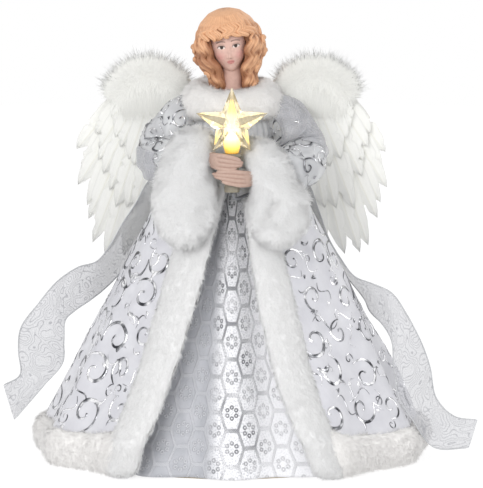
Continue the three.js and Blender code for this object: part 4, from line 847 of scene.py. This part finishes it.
def front_fur():
    # The left pile spreads inward toward its top and nearly meets the right one
    for word, side, spread_mm, seed in (("left", -1, 5.3, 31), ("right", 1, 1.0, 32)):
        def place(u, v):
            z = lerp(0.8, TOP_Z - 2, v)
            a = edge_angle(side, z)
            middle = robe_drop(a, z, CLOTH_OUT)
            swell = rounded(v, 0.045) * (0.92 + 0.05 * ripple(u * 30, z, seed, 22))
            spread = spread_mm * np.clip((z - SPREAD_Z) / SPREAD_TALL, 0, 1) ** 1.5
            deep, wide = swell * lerp(*TRIM_DEEP, v), swell * (trim_half(z) + spread)
            t = math.tau * u
            aside, out = wide * np.cos(t) - side * spread, deep * np.sin(t)
            return middle + stack(aside * np.cos(a) + out * np.sin(a), aside * np.sin(a) - out * np.cos(a), 0)

        fur(f"{word}_front_fur", grid(28, 90, place), FUR, count=26000, length=3.8, seed=seed,
            keep=lambda p, n: (p * n)[:, :2].sum(1) > -60)


HEM_HALF_TALL, HEM_HALF_DEEP, HEM_ROUND = 13, 8.5, 650


def hem_fur():
    def place(u, v):
        t = math.tau * u
        swell = rounded(v, 0.012) * (0.93 + 0.05 * ripple(v * 600, u * 40, 7, 30))
        # Its top edge curves up into the front trims
        near = np.exp(-np.minimum(v, 1 - v) * HEM_ROUND / 14)
        rise = swell * np.sin(t) * np.where(np.sin(t) > 0, 1 + 1.3 * near, 1)
        z = 0.3 + HEM_HALF_TALL * (1 + rise)
        a = lerp(beside_trim(1, z) - 0.1, math.tau + beside_trim(-1, z) + 0.1, v)
        return robe_drop(a, z, CLOTH_OUT + swell * HEM_HALF_DEEP * np.cos(t))

    fur("hem_fur", grid(24, 300, place), HEM_FUR, count=66000, length=4.4, seed=33,
        keep=lambda p, n: ((p * n)[:, :2].sum(1) > -30) & (p[:, 2] > 2.5))


COLLAR_W, COLLAR_D, COLLAR_Z = 26, 18, CONE_TOP + 57
COLLAR_HALF_TALL, COLLAR_HALF_DEEP = 12.5, 8.5


def collar_fur():
    def place(u, v):
        a, b = math.tau * v, math.tau * u
        swell = 0.92 + 0.05 * ripple(np.cos(a) * 26, np.sin(a) * 26 + 9 * b, 3, 20)
        # Thinner at the front, above less than below
        front = np.maximum(0, np.cos(a)) ** 2
        up = swell * np.sin(b) * (COLLAR_HALF_TALL - front * np.where(np.sin(b) > 0, 2.6, 4.2))
        out = swell * COLLAR_HALF_DEEP * np.cos(b) - 0.3 * up
        z = COLLAR_Z - 3 * np.cos(a) + up
        return stack((COLLAR_W + out) * np.sin(a), -(COLLAR_D + out) * np.cos(a), z)

    fur("fur_collar", grid(28, 90, place), HEM_FUR, count=32000, length=4.4, seed=34)


# Cuffs from the top down: share of the drop, middle and half width
LEFT_CUFF = (
    (0, 24, 0), (0.015, 24, 5), (0.05, 25, 11), (0.15, 27, 14.8), (0.3, 30, 17.5), (0.5, 32, 19.5),
    (0.7, 32, 19.5), (0.87, 31.5, 16), (0.96, 31.2, 9.7), (1, 31.2, 0))
RIGHT_CUFF = (
    (0, 16, 0), (0.015, 16, 4), (0.06, 17.5, 9.7), (0.17, 21, 13.6), (0.37, 27, 14.6), (0.56, 31, 18.5),
    (0.76, 31, 18.5), (0.9, 30, 15), (0.97, 29.6, 9.7), (1, 29.6, 0))
CUFF_FOOT, CUFF_BACK, CUFF_FORWARD, CUFF_ROUND = HAND_Z - 47, -48, 27, 107


def cuff_fur():
    # The right one has a dent where it opens
    for word, side, rows, top, dent, seed in (
        ("left", -1, LEFT_CUFF, 228, 0, 35), ("right", 1, RIGHT_CUFF, 221, 0.6, 36),
    ):
        def place(u, v):
            middle, half = along(rows, v)
            z = lerp(top, CUFF_FOOT, v)
            t = math.tau * u
            waves, lumps_on = ripple(u * CUFF_ROUND, z, seed, 26), ripple(u * CUFF_ROUND, z, seed + 5, 10)
            swell = 0.95 * (1 + 0.1 * waves + 0.03 * lumps_on)
            swell = swell * (1 - dent * bump(u + 0.25 * (v - 0.6), 0.69, 0.05) * bump(v, 0.6, 0.12))
            x = side * middle + half * swell * np.cos(t)
            y = CUFF_BACK - CUFF_FORWARD * v + np.minimum(15, 0.885 * half) * swell * np.sin(t)
            return stack(x, y, z)

        fur(f"{word}_cuff_fur", grid(40, 70, place), FUR, count=34000, length=6.8, seed=seed, fuzz=0.75)


# Sleeves on the bent arm wire, and the bodice between them

# Points of the arm's line, and those from the cuff to the shoulder
ARM_POINTS, SLEEVE_SPAN = 401, slice(52, 165)
SLEEVE_R, SLEEVE_ROUND, SLEEVE_LONG = 17, 115, 80
SLEEVE_SIZES = ((0, 0.8), (0.25, 0.98), (0.55, 1.07), (0.8, 0.97), (1, 0.7))
SLEEVE_FOIL_STEP, SLEEVE_FOIL_PROUD = 18, 0.45
# Sheer lace over the right upper arm and the left elbow: turns, then shares along the sleeve
ARM_LACE = (("right", 1, (0.03, 0.5), (0.4, 0.96)), ("left", -1, (0.42, 0.75), (0.12, 0.7)))
LACE_LONG = 95


def arm_line():
    def arm(side):
        z = HAND_Z - side * 5.9
        return [(side * 11, LAMP_Y + 1, z), (side * 25, -54, z), (side * 46.5, -9, 205), (side * 30, 1, 231)]
    return curve([*arm(-1), (0, 1, 231), *arm(1)[::-1]], ARM_POINTS)


def sleeve_place(side):
    """Place on a sleeve from a turn and a share along it; deep slanting folds on top."""
    path = arm_line()[::-side][SLEEVE_SPAN]
    across, lift = square_to(path)

    def place(u, v, out=0.0):
        k = v * (len(path) - 1)
        low = np.clip(k.astype(int), 0, len(path) - 2)
        t = (k - low)[:, None]

        def at(rows):
            return lerp(rows[low], rows[low + 1], t)

        a = math.tau * u
        fold = 1.0 * np.sin(15 * v + 2.2 * np.cos(a)) + 0.9 * ripple(30 * np.cos(a), 70 * v, 4 + side, 12)
        r = rounded(v, 0.03) * (SLEEVE_R * along(SLEEVE_SIZES, v)[0] - 0.4 + fold + out)
        return at(path) + r[:, None] * (at(across) * np.cos(a)[:, None] + at(lift) * np.sin(a)[:, None])
    return place


def sleeves():
    rng = np.random.default_rng(8)
    for word, side in SIDES:
        place = sleeve_place(side)

        def to_sleeve(x, y):
            return place(np.mod(x / SLEEVE_ROUND, 1), np.clip(y / SLEEVE_LONG, 0.06, 0.94), SLEEVE_FOIL_PROUD)

        bm = grid(56, 64, place, lambda u, v: (u * SLEEVE_ROUND, v * SLEEVE_LONG))
        made = piece(f"{word}_sleeve_satin", bm, GREY_SATIN, stands_for=[f"{word}_sleeve"])
        spots = [(x, y) for x in np.arange(5, SLEEVE_ROUND - 3, SLEEVE_FOIL_STEP)
                 for y in np.arange(12, SLEEVE_LONG - 4, SLEEVE_FOIL_STEP)]
        foil_sprays(f"{word}_sleeve_foil", spots, rng, to_sleeve, scale=0.7)
    for word, side, turns, shares in ARM_LACE:
        place = sleeve_place(side)

        def drape(u, v):
            loose = 1.2 + 0.6 * ripple(u * 50, v * 44, 14, 15)
            return place(lerp(*turns, u), lerp(*shares, v) + 0.03 * np.sin(14 * u) * (1 - v), loose)

        wide, tall = SLEEVE_ROUND * (turns[1] - turns[0]), LACE_LONG * (shares[1] - shares[0])
        bm = grid(40, 36, drape, lambda u, v: (210 + u * wide, 90 + v * tall))
        lace = piece(f"{word}_arm_lace", bm, LACE, thick=0.25)


# Body form above the cone: height, half width, half depth
TORSO = ((0, 26, 26), (14, 25, 22), (34, 29, 20), (50, 24, 14))
BODICE_LOW, BODICE_TOP, GATHERS = 187.4, 235.8, 34


def bodice():
    def place(u, v):
        z = lerp(BODICE_LOW, BODICE_TOP, v)
        w, d = along(TORSO, z - CONE_TOP)
        a = math.tau * u
        gather = 1.0 + 0.35 * np.cos(GATHERS * a + 0.8 * np.sin(0.3 * z))
        return stack((w + gather) * np.sin(a), -(d + gather) * np.cos(a), z)

    bm = grid(200, 24, place, lambda u, v: (u * 150, v * 49))
    made = piece("satin_bodice", bm, GREY_SATIN, stands_for=["bodice"], thick=0.5)


# Head and hair, in the head's own place: x across, y back, z up from its middle

HEAD_W, HEAD_D, HEAD_H = 12.6, 14.5, 20
EYE_X, EYE_Z, LIP_Z = 5.0, -0.7, -11.2
# Face in low relief: place across, place up, half widths, height; then what it has on both sides
FACE_MIDDLE = (
    (0, -7.4, 1.3, 1.5, 2.0), (0, -3.4, 1.0, 3.4, 1.2), (0, 2.5, 5, 4, -0.5), (0, -10.5, 2.2, 0.65, 0.7),
    (0, -12.0, 1.8, 0.75, 0.75), (0, LIP_Z, 2.6, 0.28, -0.4), (0, -16.6, 3, 2.0, 1.0))
FACE_SIDES = (
    (1.4, -8.0, 0.8, 0.8, 0.55), (EYE_X, -0.2, 2.7, 1.9, -1.2), (EYE_X, EYE_Z, 1.9, 1.0, 0.65),
    (6, -7, 3.4, 3.2, 0.6))
FACE = (*FACE_MIDDLE, *((s * x, *rest) for x, *rest in FACE_SIDES for s in (-1, 1)))
# Bust from its foot up: height, half width, half depth, place back
BUST_Z, NECK_TALL = 236.3, 38
BUST = (
    (0, 22, 12.5, 0), (3, 21, 12, 0), (7, 15, 10.5, 0), (11, 9.2, 8.2, -1),
    (16, 7.2, 7.2, -2), (40, 6.6, 7.2, -3))
# Hair's outline: height, half width, half depth, place back
HAIR_LOW, HAIR_TOP = -34, 22.98
HAIR_BELL = (
    (-38, 11, 8, 3), (-30, 14.5, 11.5, 2.5), (-20, 17, 15, 2.5), (-10, 22.3, 17.5, 2.5), (-2, 23, 19, 2.5),
    (8, 21.2, 18.6, 2.2), (15, 16.8, 16, 2), (20, 11.2, 11.4, 2), (22.4, 5, 5.4, 2), (23, 0, 0, 2))
# Angle at which the hair leaves the face free, by height
FACE_SIDE = ((-34, 0.76), (-20, 0.6), (-10, 0.64), (0, 0.77), (8, 0.8))
# Locks and thinner strays on each side, and locks of the fringe
LOCKS, STRAYS, FRINGE = 15, 7, 17
# Curls that stand out of the outline: angle, height, size
CURLS = ((1.4, -1, 2.6), (1.5, -10, 2.3), (1.1, -19, 2.2), (1.0, -31, 2.0))


def head_world(p):
    x, y, z = p[..., 0], p[..., 1], p[..., 2]
    y, z = turned(y, z, HEAD_PITCH)
    x, z = turned(x, z, -HEAD_ROLL)
    return stack(x, y, z) + HEAD_AT


def head_local(p):
    x, y, z = (p - np.array(HEAD_AT)).T
    x, z = turned(x, z, HEAD_ROLL)
    return x, *turned(y, z, -HEAD_PITCH)


def brush_on(paint, code, share):
    share = np.clip(share, 0, 1)[:, None]
    return paint * (1 - share) + np.array(colour(code)) * share


def coat(count, code):
    return np.tile(colour(code), (count, 1))


def set_paint(made, paint):
    layer = made.data.color_attributes.new("paint", "FLOAT_COLOR", "POINT")
    layer.data.foreach_set("color", np.asarray(paint, np.float32).ravel())


def points_of(mesh):
    return np.array([v.co for v in mesh.vertices]) / MM


def face_paint(x, z, front):
    ax = np.abs(x)
    off, rise = np.abs(ax - EYE_X), z - EYE_Z
    lips = (ax < 2.5 * np.sqrt(np.clip(1 - ((z - LIP_Z) / 1.5) ** 2, 0, 1))) & (front > 0)
    brow = 3.4 - 0.085 * (ax - 4.4) ** 2
    lid = np.sqrt(np.clip(1 - (off / 2.5) ** 2, 0, 1))
    eye = (np.abs(rise) < lid) & (front > 0)
    paint = coat(len(x), "#d3b0a4")
    for code, share in (
        ("#d69a94", 0.7 * bump(ax, 6.6, 3.0) * bump(z, -7.0, 3.0) * front),
        ("#c07b79", 0.8 * lips),
        ("#94494c", 0.55 * bump(z, LIP_Z, 0.2) * (ax < 2.4) * front),
        ("#4b382f", 0.9 * bump(z, brow, 0.34) * (off < 3.1) * front),
        ("#ece2dc", 0.9 * eye),
        ("#33241d", 1.0 * eye * (np.hypot(ax - 4.8, z + 0.55) < 1.2)),
        ("#2c201b", 0.95 * bump(rise, lid, 0.4) * (off < 2.8) * front),
        ("#6b5044", 0.5 * bump(rise, lid + 1.0, 0.2) * (off < 2.3) * front),
    ):
        paint = brush_on(paint, code, share)
    return paint


def head():
    kept = {}

    def place(u, v):
        rise = np.radians(lerp(-88, 88, v))
        level, up = np.cos(rise), np.sin(rise)
        jaw = np.maximum(0, -up) ** 1.6
        even = math.tau * u
        a = even - 0.5 * np.sin(even)
        x = HEAD_W * level * np.sin(a) * (1 - 0.3 * jaw)
        y = -HEAD_D * level * np.cos(a) * (1 - 0.35 * jaw * np.maximum(0, -np.cos(a)))
        z = HEAD_H * up * np.where(up < 0, 1.07, 1)
        front = (np.cos(a) > 0).astype(float)
        for px, pz, wx, wz, height in FACE:
            y = y - front * height * bump(x, px, wx) * bump(z, pz, wz)
        kept["paint"] = face_paint(x, z, front)
        return head_world(stack(x, y, z))

    def neck(u, v):
        w, d, y = along(BUST, NECK_TALL * v)
        a, close = math.tau * u, rounded(v, 0.02)
        return stack(close * w * np.cos(a), close * d * np.sin(a) + y, BUST_Z + NECK_TALL * v)

    bm = grid(220, 170, place)
    lay(bm, 48, 40, neck)
    made = piece("painted_head", bm, SKIN, stands_for=["head_bust"], merge=False)
    paint = coat(len(made.data.vertices), "#c5a296")
    paint[:len(kept["paint"])] = kept["paint"]
    set_paint(made, paint)


def on_bell(a, z, out):
    """Place on the hair's outline, its angle from the front toward +X."""
    w, d, y = along(HAIR_BELL, z)
    return stack((w + out) * np.sin(a), y - (d + out) * np.cos(a), z)


def hair_comb(a, z):
    """Count of the strands across, which run down from the crown in slow waves."""
    return 14 * a + 1.5 * np.sin(0.5 * z + 1.4 * np.sin(2 * a + 0.5)) * fade(17, 6, z)


def hair_cap():
    """The combed cap, pressed in where the face shows."""
    def spot(u, v):
        return math.tau * (u - 0.5), lerp(HAIR_LOW, HAIR_TOP, v)

    def place(u, v):
        a, z = spot(u, v)
        edge = 7.4 - 3.2 * a * a
        window = fade(0.98, 0.84, np.abs(a)) * fade(edge + 1, edge - 1, z)
        lock = np.abs(np.sin(hair_comb(a, z))) - 0.7
        out = lerp(-1.6, 0.1, fade(6, 13, z)) + lerp(0.3, 0.9, fade(16, 8, z)) * lock * fade(22.9, 20, z)
        return head_world(on_bell(a, z, out - 9 * window))

    return grid(280, 140, place, lambda u, v: (2 * hair_comb(*spot(u, v)) / math.pi, v))


def hair():
    rng = np.random.default_rng(21)
    bm = hair_cap()

    def lock(line, fat, grooves):
        tube(bm, head_world(line), fat, 14, up=(0, 1, 0), flat=lambda u, v: (grooves * u + 1.5 * v, v))

    t = np.linspace(0, 1, 60)
    for side in (-1, 1):
        # Wavy locks round the sides and the back, their bends nearly in step
        for k in range(LOCKS):
            z = lerp(rng.uniform(12, 16), rng.uniform(-37, -31), t)
            roll = 0.5 * z + 0.4 * k + side + rng.uniform(-0.9, 0.9)
            a = lerp(along(FACE_SIDE, z)[0], math.pi - 0.1, k / (LOCKS - 1))
            a = a + rng.uniform(0.06, 0.12) * np.sin(roll)
            out = lerp(-2.6, -1.4 + 0.6 * np.cos(roll) + 0.7 * (k % 2), fade(0, 0.3, t))
            fat = lerp(1.3, rng.uniform(1.9, 2.4), fade(0, 0.3, t)) * rounded(t, 0.1)
            lock(on_bell(side * a, z, out), fat * (1 + 0.08 * np.cos(roll + 0.6)), grooves=6)
        # Inner lock that lies along the face
        z = lerp(9, -31, t)
        roll = 0.5 * z + side
        a = along(FACE_SIDE, z)[0] + 0.1 + 0.04 * np.sin(roll)
        lock(on_bell(side * a, z, -5.2 + 0.5 * np.cos(roll)), 2.1 * rounded(t, 0.1), grooves=6)
        # Thinner strays that cross them
        for k in range(STRAYS):
            first, last = sorted(rng.uniform(-33, 5, 2))[::-1]
            z = lerp(first + 4, min(last, first - 12), t)
            roll = 0.62 * z + rng.uniform(0, 6.3)
            a = lerp(0.9, 2.6, k / (STRAYS - 1)) + 0.13 * np.sin(roll)
            lock(on_bell(side * a, z, 0.1 + 0.5 * np.cos(roll)), 1.15 * rounded(t, 0.2), grooves=4)
        for a0, z0, size in CURLS:
            turn, shrink = lerp(0.4, 7.0, t) + a0, size * (1 - 0.6 * t)
            a, z = a0 + shrink * np.sin(turn) / 22, z0 + shrink * np.cos(turn)
            lock(on_bell(side * a, z, 0.5 + 1.3 * t), 1.7 * rounded(t, 0.15), grooves=5)
    # Fringe: locks that start close together above the brow, fan out and wave in step
    for k in range(FRINGE):
        share = 2 * k / (FRINGE - 1) - 1
        roll = 7.5 * t + 0.5 * k + rng.uniform(-0.5, 0.5)
        a = 0.9 * share * lerp(0.65, 1.0, fade(0, 0.7, t)) + 0.15 * np.sin(roll) * fade(0, 0.5, t)
        z = lerp(17, 6.2 - 0.9 * share * share + rng.uniform(-1.2, 0.8), t ** 0.85) + 0.5 * np.cos(roll) * t
        out = -1.1 + 0.7 * np.sin(roll + 1) * t + 0.8 * (k % 2) * fade(0, 0.3, t) + 0.7 * np.sin(np.pi * t)
        fat = lerp(0.8, rng.uniform(1.3, 2.0), fade(0, 0.6, t)) * rounded(t, 0.16)
        lock(on_bell(a, z, out), fat, grooves=4)
    made = piece("moulded_hair", bm, HAIR, stands_for=["hair"])
    paint_hair(made)


def paint_hair(made):
    """Darker brown in the hollows, partly a brown wash and partly painted shade, more of it low down and at
    the left, under a light top coat.
    """
    x, y, z = head_local(points_of(made.data))
    w, d, back = along(HAIR_BELL, z)
    a = np.arctan2(x, back - y)
    edge = 1 / np.sqrt((np.sin(a) / np.maximum(w, 1)) ** 2 + (np.cos(a) / np.maximum(d, 1)) ** 2)
    proud = np.hypot(x, y - back) - edge
    # Partly brown wash, partly painted shade: darker in the hollows, low down and at the left
    wash_and_shade = lerp(0.0, 2.1 - 0.035 * x, fade(9, -6, z))
    tone = fade(-3.0, 1.0, proud - wash_and_shade + 1.3 * ripple(x + y, z, 2, 8) + fade(13, 18, z))
    tone = np.maximum(lerp(0.3, 0.65, fade(3, 8, z)), tone)
    paint = brush_on(coat(len(x), "#814a2e"), "#dcaa83", tone)
    paint[:, 3] = lerp(1.0, 0.55, fade(9, 15, z))
    set_paint(made, paint)


# Hands, the left one on top: height, finger pitch, rise toward the finger tips, the wrist's place across
# and the fingers' ends. Their lines are places across and forward of the lamp
HANDS = (
    ("left", -1, HAND_Z + 8.2, 2.95, -0.1, 14.5, ((0, -7.6), (-5.4, -5.4), (-7.4, -1.6))),
    ("right", 1, HAND_Z - 2.6, 2.85, 0.12, 17.5, ((-1, -8.2), (-8, -7.2), (-13.5, -3.6))))
KNUCKLES = ((14.5, 6), (12.2, 0.2), (7.4, -6.2))
HAND_BACK = ((7.2, -5.8), (10.4, -2.9), (12.4, 0.6), (14.5, 4.5))
# Each finger's row from the middle, and the share of the line that it reaches
FINGERS = ((-1.5, 0.8), (-0.5, 0.96), (0.5, 1.0), (1.5, 0.9))
THUMB_REACH, THUMB_R, BACK_R, WRIST_R, SKIN_VOXEL = 7.2, 1.7, 2.1, 3.9, 0.4


def skinned(bm):
    """Melts the tubes in bm into one soft skin."""
    bmesh.ops.recalc_face_normals(bm, faces=bm.faces)
    shape = add_object("hand_rough", mesh_of("hand_rough", bm))
    skin = shape.modifiers.new("skin", "REMESH")
    skin.mode, skin.voxel_size = "VOXEL", SKIN_VOXEL * MM
    soft = shape.modifiers.new("soft", "SMOOTH")
    soft.factor, soft.iterations = 0.5, 5
    mesh = bpy.data.meshes.new_from_object(shape.evaluated_get(bpy.context.evaluated_depsgraph_get()))
    bpy.data.objects.remove(shape)
    return mesh


def hands():
    for word, side, height, pitch, tilt, wide, ends in HANDS:
        def close(x):
            return lerp(0.6, 1.0, fade(ends[2][0], 3, x)) * lerp(0.75, 1.0, fade(15, 8, x))

        def line(points, count, row=0):
            x, y = np.array(points).T
            return curve(stack(side * x, LAMP_Y + y, height + row * pitch * close(x) + tilt * (6 - x)), count)

        bm = bmesh.new()
        t = np.linspace(0, 1, 26)
        for row, last in FINGERS:
            finger = line((*KNUCKLES, *ends), 60, row)[np.rint(t * last * 59).astype(int)]
            swell = 0.56 * pitch * (1 - 0.3 * t ** 3 + 0.05 * np.cos(22 * t))
            tube(bm, finger, swell * blunt(t, 0.08), sides=10)
        # Thumb behind the lamp, back of the hand, then the wrist into its cuff
        t = np.linspace(0, 1, 14)
        a = side * np.radians(lerp(96, 190, t))
        thumb = stack(THUMB_REACH * np.sin(a), LAMP_Y - THUMB_REACH * np.cos(a), height + 2.7)
        tube(bm, thumb, THUMB_R * blunt(t, 0.1), sides=10)
        tube(bm, line(HAND_BACK, 14), BACK_R * blunt(t, 0.25), sides=16, flatten=2.2)
        wrist = line(((9.8, 0.5), (wide - 4, 2.5), (wide, 9), (wide + 5, 15)), 14)
        tube(bm, wrist, WRIST_R * blunt(t, 0.15), sides=16, flatten=1.3)
        made = dress(f"painted_{word}_hand", skinned(bm), SKIN, FIGURE, [f"{word}_hand"])
        # Painted shade: thin darker lines between the fingers
        points = points_of(made.data)
        x = side * points[:, 0]
        row = (points[:, 2] - height - tilt * (6 - x)) / (pitch * close(x))
        near = (np.abs(row) < 1.4) * fade(11, 7, x)
        painted_gap_shade = 0.5 * bump(row - np.rint(row), 0, 0.16) * near
        set_paint(made, brush_on(coat(len(points), "#b79c8f"), "#8d6a5d", painted_gap_shade))


# Ribbon tails between two edges, from the robe's back to the free end
LEFT_RIBBON = (
    (-12, 34, 196, -6, 48, 172), (-45, 36, 194, -22, 47, 184), (-57, 26, 184, -36, 46, 168),
    (-66, 18, 169, -50, 47, 152), (-75, 12, 156, -64, 46, 134), (-83, 7, 142, -78, 37, 118),
    (-92, 0, 132, -88, 20, 110), (-104, -6, 129, -97, 2, 105), (-118, -10, 120, -108, -4, 98),
    (-131, -12, 105, -113, -8, 93), (-143, -10, 88, -114, -10, 79), (-145, -6, 72, -115, -9, 64),
    (-144, -4, 55, -128, -7, 48), (-155, -12, 49, -148, -10, 25))
RIGHT_RIBBON = (
    (12, 34, 196, 6, 48, 172), (45, 36, 194, 22, 47, 186), (53, 26, 181, 36, 46, 170),
    (59, 18, 165, 50, 47, 153), (66, 12, 146, 63, 46, 132), (74, 6, 133, 79, 37, 116),
    (83, 0, 122, 90, 20, 104), (97, -6, 117, 94, 4, 97), (108, -11, 112, 102, -8, 90),
    (118, -14, 98, 108, -22, 80), (128, -16, 79, 109, -34, 64), (134, -18, 62, 112, -44, 46),
    (138, -22, 42, 121, -46, 31), (150, -26, 30, 136, -40, 11), (166, -24, 27, 160, -30, 9))
RIBBON_WIDE, RIBBON_STEPS, RIBBON_WIRE_R = 34, 140, 0.45


def ribbon_edge(points):
    """A smooth line whose points keep step with the given rows."""
    fine = curve(points, 1200)
    run = run_along(fine)
    marks = [run[np.argmin(np.linalg.norm(fine - p, axis=1))] for p in points]
    steps = np.linspace(0, len(points) - 1, RIBBON_STEPS + 1)
    return points_at(fine, np.interp(steps, np.arange(len(points)), np.maximum.accumulate(marks)))


def ribbons():
    for word, rows, length in (("left", LEFT_RIBBON, 0.245), ("right", RIGHT_RIBBON, 0.28)):
        edges = [ribbon_edge(np.array(rows, float)[:, k:k + 3]) for k in (0, 3)]

        def place(u, v):
            k = np.rint(v * RIBBON_STEPS).astype(int)
            lift = 1.6 * np.sin(np.pi * u) + 0.5 * ripple(u * 30, v * 300, 6, 24)
            return lerp(edges[0][k], edges[1][k], u[:, None]) - stack(0, lift, 0)

        bm = grid(12, RIBBON_STEPS, place, lambda u, v: (u * RIBBON_WIDE, v * length / MM))
        band = piece(f"{word}_ribbon_band", bm, ORGANZA, stands_for=[f"{word}_ribbon"])
        bm = bmesh.new()
        for edge in edges:
            tube(bm, edge, RIBBON_WIRE_R * blunt(np.linspace(0, 1, RIBBON_STEPS + 1), 0.004), sides=6)
        wire = piece(f"{word}_ribbon_wire", bm, GREY_SATIN)


# Wings: shingled rows of feathers under a crest of marabou, in a plane that leans forward

# Arc that they hang from, as a curve's three points, outward and up from the hub
WING_ARC = ((12, 9), (50, 60), (72, 16))
# Fan along the arc: lean in degrees and length of the feathers; then half width along a blade
FAN = (
    (0, -2, 118), (0.25, 6, 140), (0.5, 15, 147), (0.62, 18, 126), (0.76, 23, 109), (0.88, 27, 92),
    (1, 34, 76))
BLADE = ((0, 0.1), (0.1, 0.16), (0.28, 0.6), (0.5, 0.97), (0.72, 1), (0.86, 0.8), (0.95, 0.42), (1, 0.02))
# Rows from the back: count, share of the length, width and drop below the arc
ROWS = (("primaries", 12, 1.0, 17.5, 0), ("secondaries", 11, 0.72, 17, 3), ("coverts", 10, 0.46, 16, 6))
ROW_BASE, ROW_STEP = 2.65, 2.6
MARABOU_BASE, MARABOU_HALF, MARABOU_DEEP, MARABOU_BARBS = 9.3, 11.5, 3.6, 15000


def wing_world(side, out, up, front):
    y, z = turned(-front, up, WING_LEAN)
    return stack(side * (out + WING_HUB[0]), y + WING_HUB[1], z + WING_HUB[2])


def wing_arc(t):
    a, b, c = (np.array(p, float) for p in WING_ARC)
    t = np.asarray(t, float)[..., None]
    return a * (1 - t) ** 2 + 2 * b * t * (1 - t) + c * t * t


def feather(bm, side, place, share, width, drop, base, rng):
    root = wing_arc(lerp(0.26, 0.62, place))
    lean, full = (float(x) for x in along(FAN, place))
    lean = math.radians(lean + rng.uniform(-1.5, 1.5))
    length = share * full * rng.uniform(0.97, 1.0)
    notches = rng.uniform(0.5, 0.93, 3)
    sides = rng.choice((-1, 1), 3)
    curl = rng.uniform(0.02, 0.05)

    def vane(u, v):
        s = 2 * u - 1
        blade = along(BLADE, v)[0]
        half = width / 2 * blade * np.where(s < 0, 1.0, 0.82)
        for at, which in zip(notches, sides):
            half = half * (1 - 0.4 * bump(v, at, 0.016) * (np.sign(s) == which))
        out, up = turned(s * half + curl * length * v * v, -length * v, lean)
        front = base + 0.8 * s - 0.6 * s * s * blade + 0.35 * bump(s, 0, 0.12)
        return wing_world(side, root[0] + out, root[1] - drop + up, front)

    lay(bm, 8, 44, vane)


def wings():
    for word, side in SIDES:
        body = f"{word}_wing"
        rng = np.random.default_rng(50 + side)
        for level, (row, count, share, width, drop) in enumerate(ROWS):
            bm = bmesh.new()
            for k in range(count):
                base = ROW_BASE + level * ROW_STEP + 0.25 * (k % 2)
                feather(bm, side, k / (count - 1), share, width, drop, base, rng)
            piece(f"{body}_{row}_feathers", bm, FEATHER, body, [f"{body}_{row}"], merge=False)
        marabou(side, body, rng)


def marabou(side, body, rng):
    """Down crest: a soft mound along the arc with long loose barbs standing off it."""
    def mound(u, v):
        t = lerp(0.16, 1.0, v)
        p = wing_arc(t)
        d = unit(np.gradient(wing_arc(np.linspace(0, 1, 201)), axis=0))[np.rint(t * 200).astype(int)]
        size = np.sqrt(np.clip(1 - (2 * v - 1) ** 6, 0.0, 1)) * 0.8
        a = math.tau * u
        inner = np.maximum(0, -np.cos(a))
        aside = (MARABOU_HALF * np.cos(a) - 11 * inner * np.sin(np.pi * v)) * size - 1
        front = MARABOU_BASE + (MARABOU_DEEP * (1 + np.sin(a)) - 1.8 * inner) * size
        return wing_world(side, p[:, 0] - d[:, 1] * aside, p[:, 1] + d[:, 0] * aside, front)

    made = piece(f"{body}_marabou_mound", grid(28, 60, mound), DOWN, body, [f"{body}_marabou"])
    mark_all(made, (0.5, 0.1))
    roots, facing = surface_spots(made.data, MARABOU_BARBS, rng)
    count = len(roots)
    # Distance of each root outside the arc, in the wing's own plane
    up = turned(roots[:, 1] - WING_HUB[1], roots[:, 2] - WING_HUB[2], -WING_LEAN)[1]
    spot = np.c_[side * roots[:, 0] - WING_HUB[0], up]
    arc = wing_arc(np.linspace(0, 1, 101))
    nearest = np.argmin(((spot[:, None] - arc) ** 2).sum(2), axis=1)
    run = unit(np.gradient(arc, axis=0))[nearest]
    off = np.c_[-run[:, 1], run[:, 0]]
    aside = ((spot - arc[nearest]) * off).sum(1)
    outward = stack(side * off[:, 0], *turned(0, off[:, 1], WING_LEAN))
    # Barbs stand off the crest, and long down lies over the feathers below it
    crest, below = fade(-2, 6, aside), fade(0, -7, aside)
    down = np.array((0, *turned(0, -1, WING_LEAN))) + 0.2 * rng.normal(size=roots.shape)
    way = unit(0.3 * facing + 1.1 * outward * crest[:, None] + 0.4 * rng.normal(size=roots.shape))
    way = unit(lerp(way, down, below[:, None]))
    reach = lerp(rng.uniform(3, 8, count), rng.uniform(3, 10, count) * rng.uniform(0.5, 1.1, count), crest)
    reach = lerp(reach, rng.uniform(5, 20, count), below)
    # Round the outline, every other barb is a dark-tipped quill
    quill = (rng.random(count) < 0.5) * (aside > 4) * (facing[:, 1] > -0.45)
    tips = roots + way * (reach + 3.5 * quill)[:, None]
    mids = lerp(roots, tips, 0.5) + 0.45 * rng.normal(size=roots.shape)
    light = unit(facing * (1, 1, 0.4) + 0.3 * way + np.array((0, -0.5, 0.2)))
    light = unit(lerp(light, np.array((0, -0.8, 0.6)), below[:, None]))
    wide = lerp(TUFT_HALF, 0.13, quill) * rng.uniform(0.7, 1.4, count)
    pile(f"{body}_marabou_down", [roots, mids], tips, light, wide, DOWN, body,
         lerp(0.35, 1.0, quill), rng.random(count))


robe()
skirt()
front_fur()
hem_fur()
collar_fur()
cuff_fur()
sleeves()
bodice()
head()
hair()
hands()
ribbons()
wings()
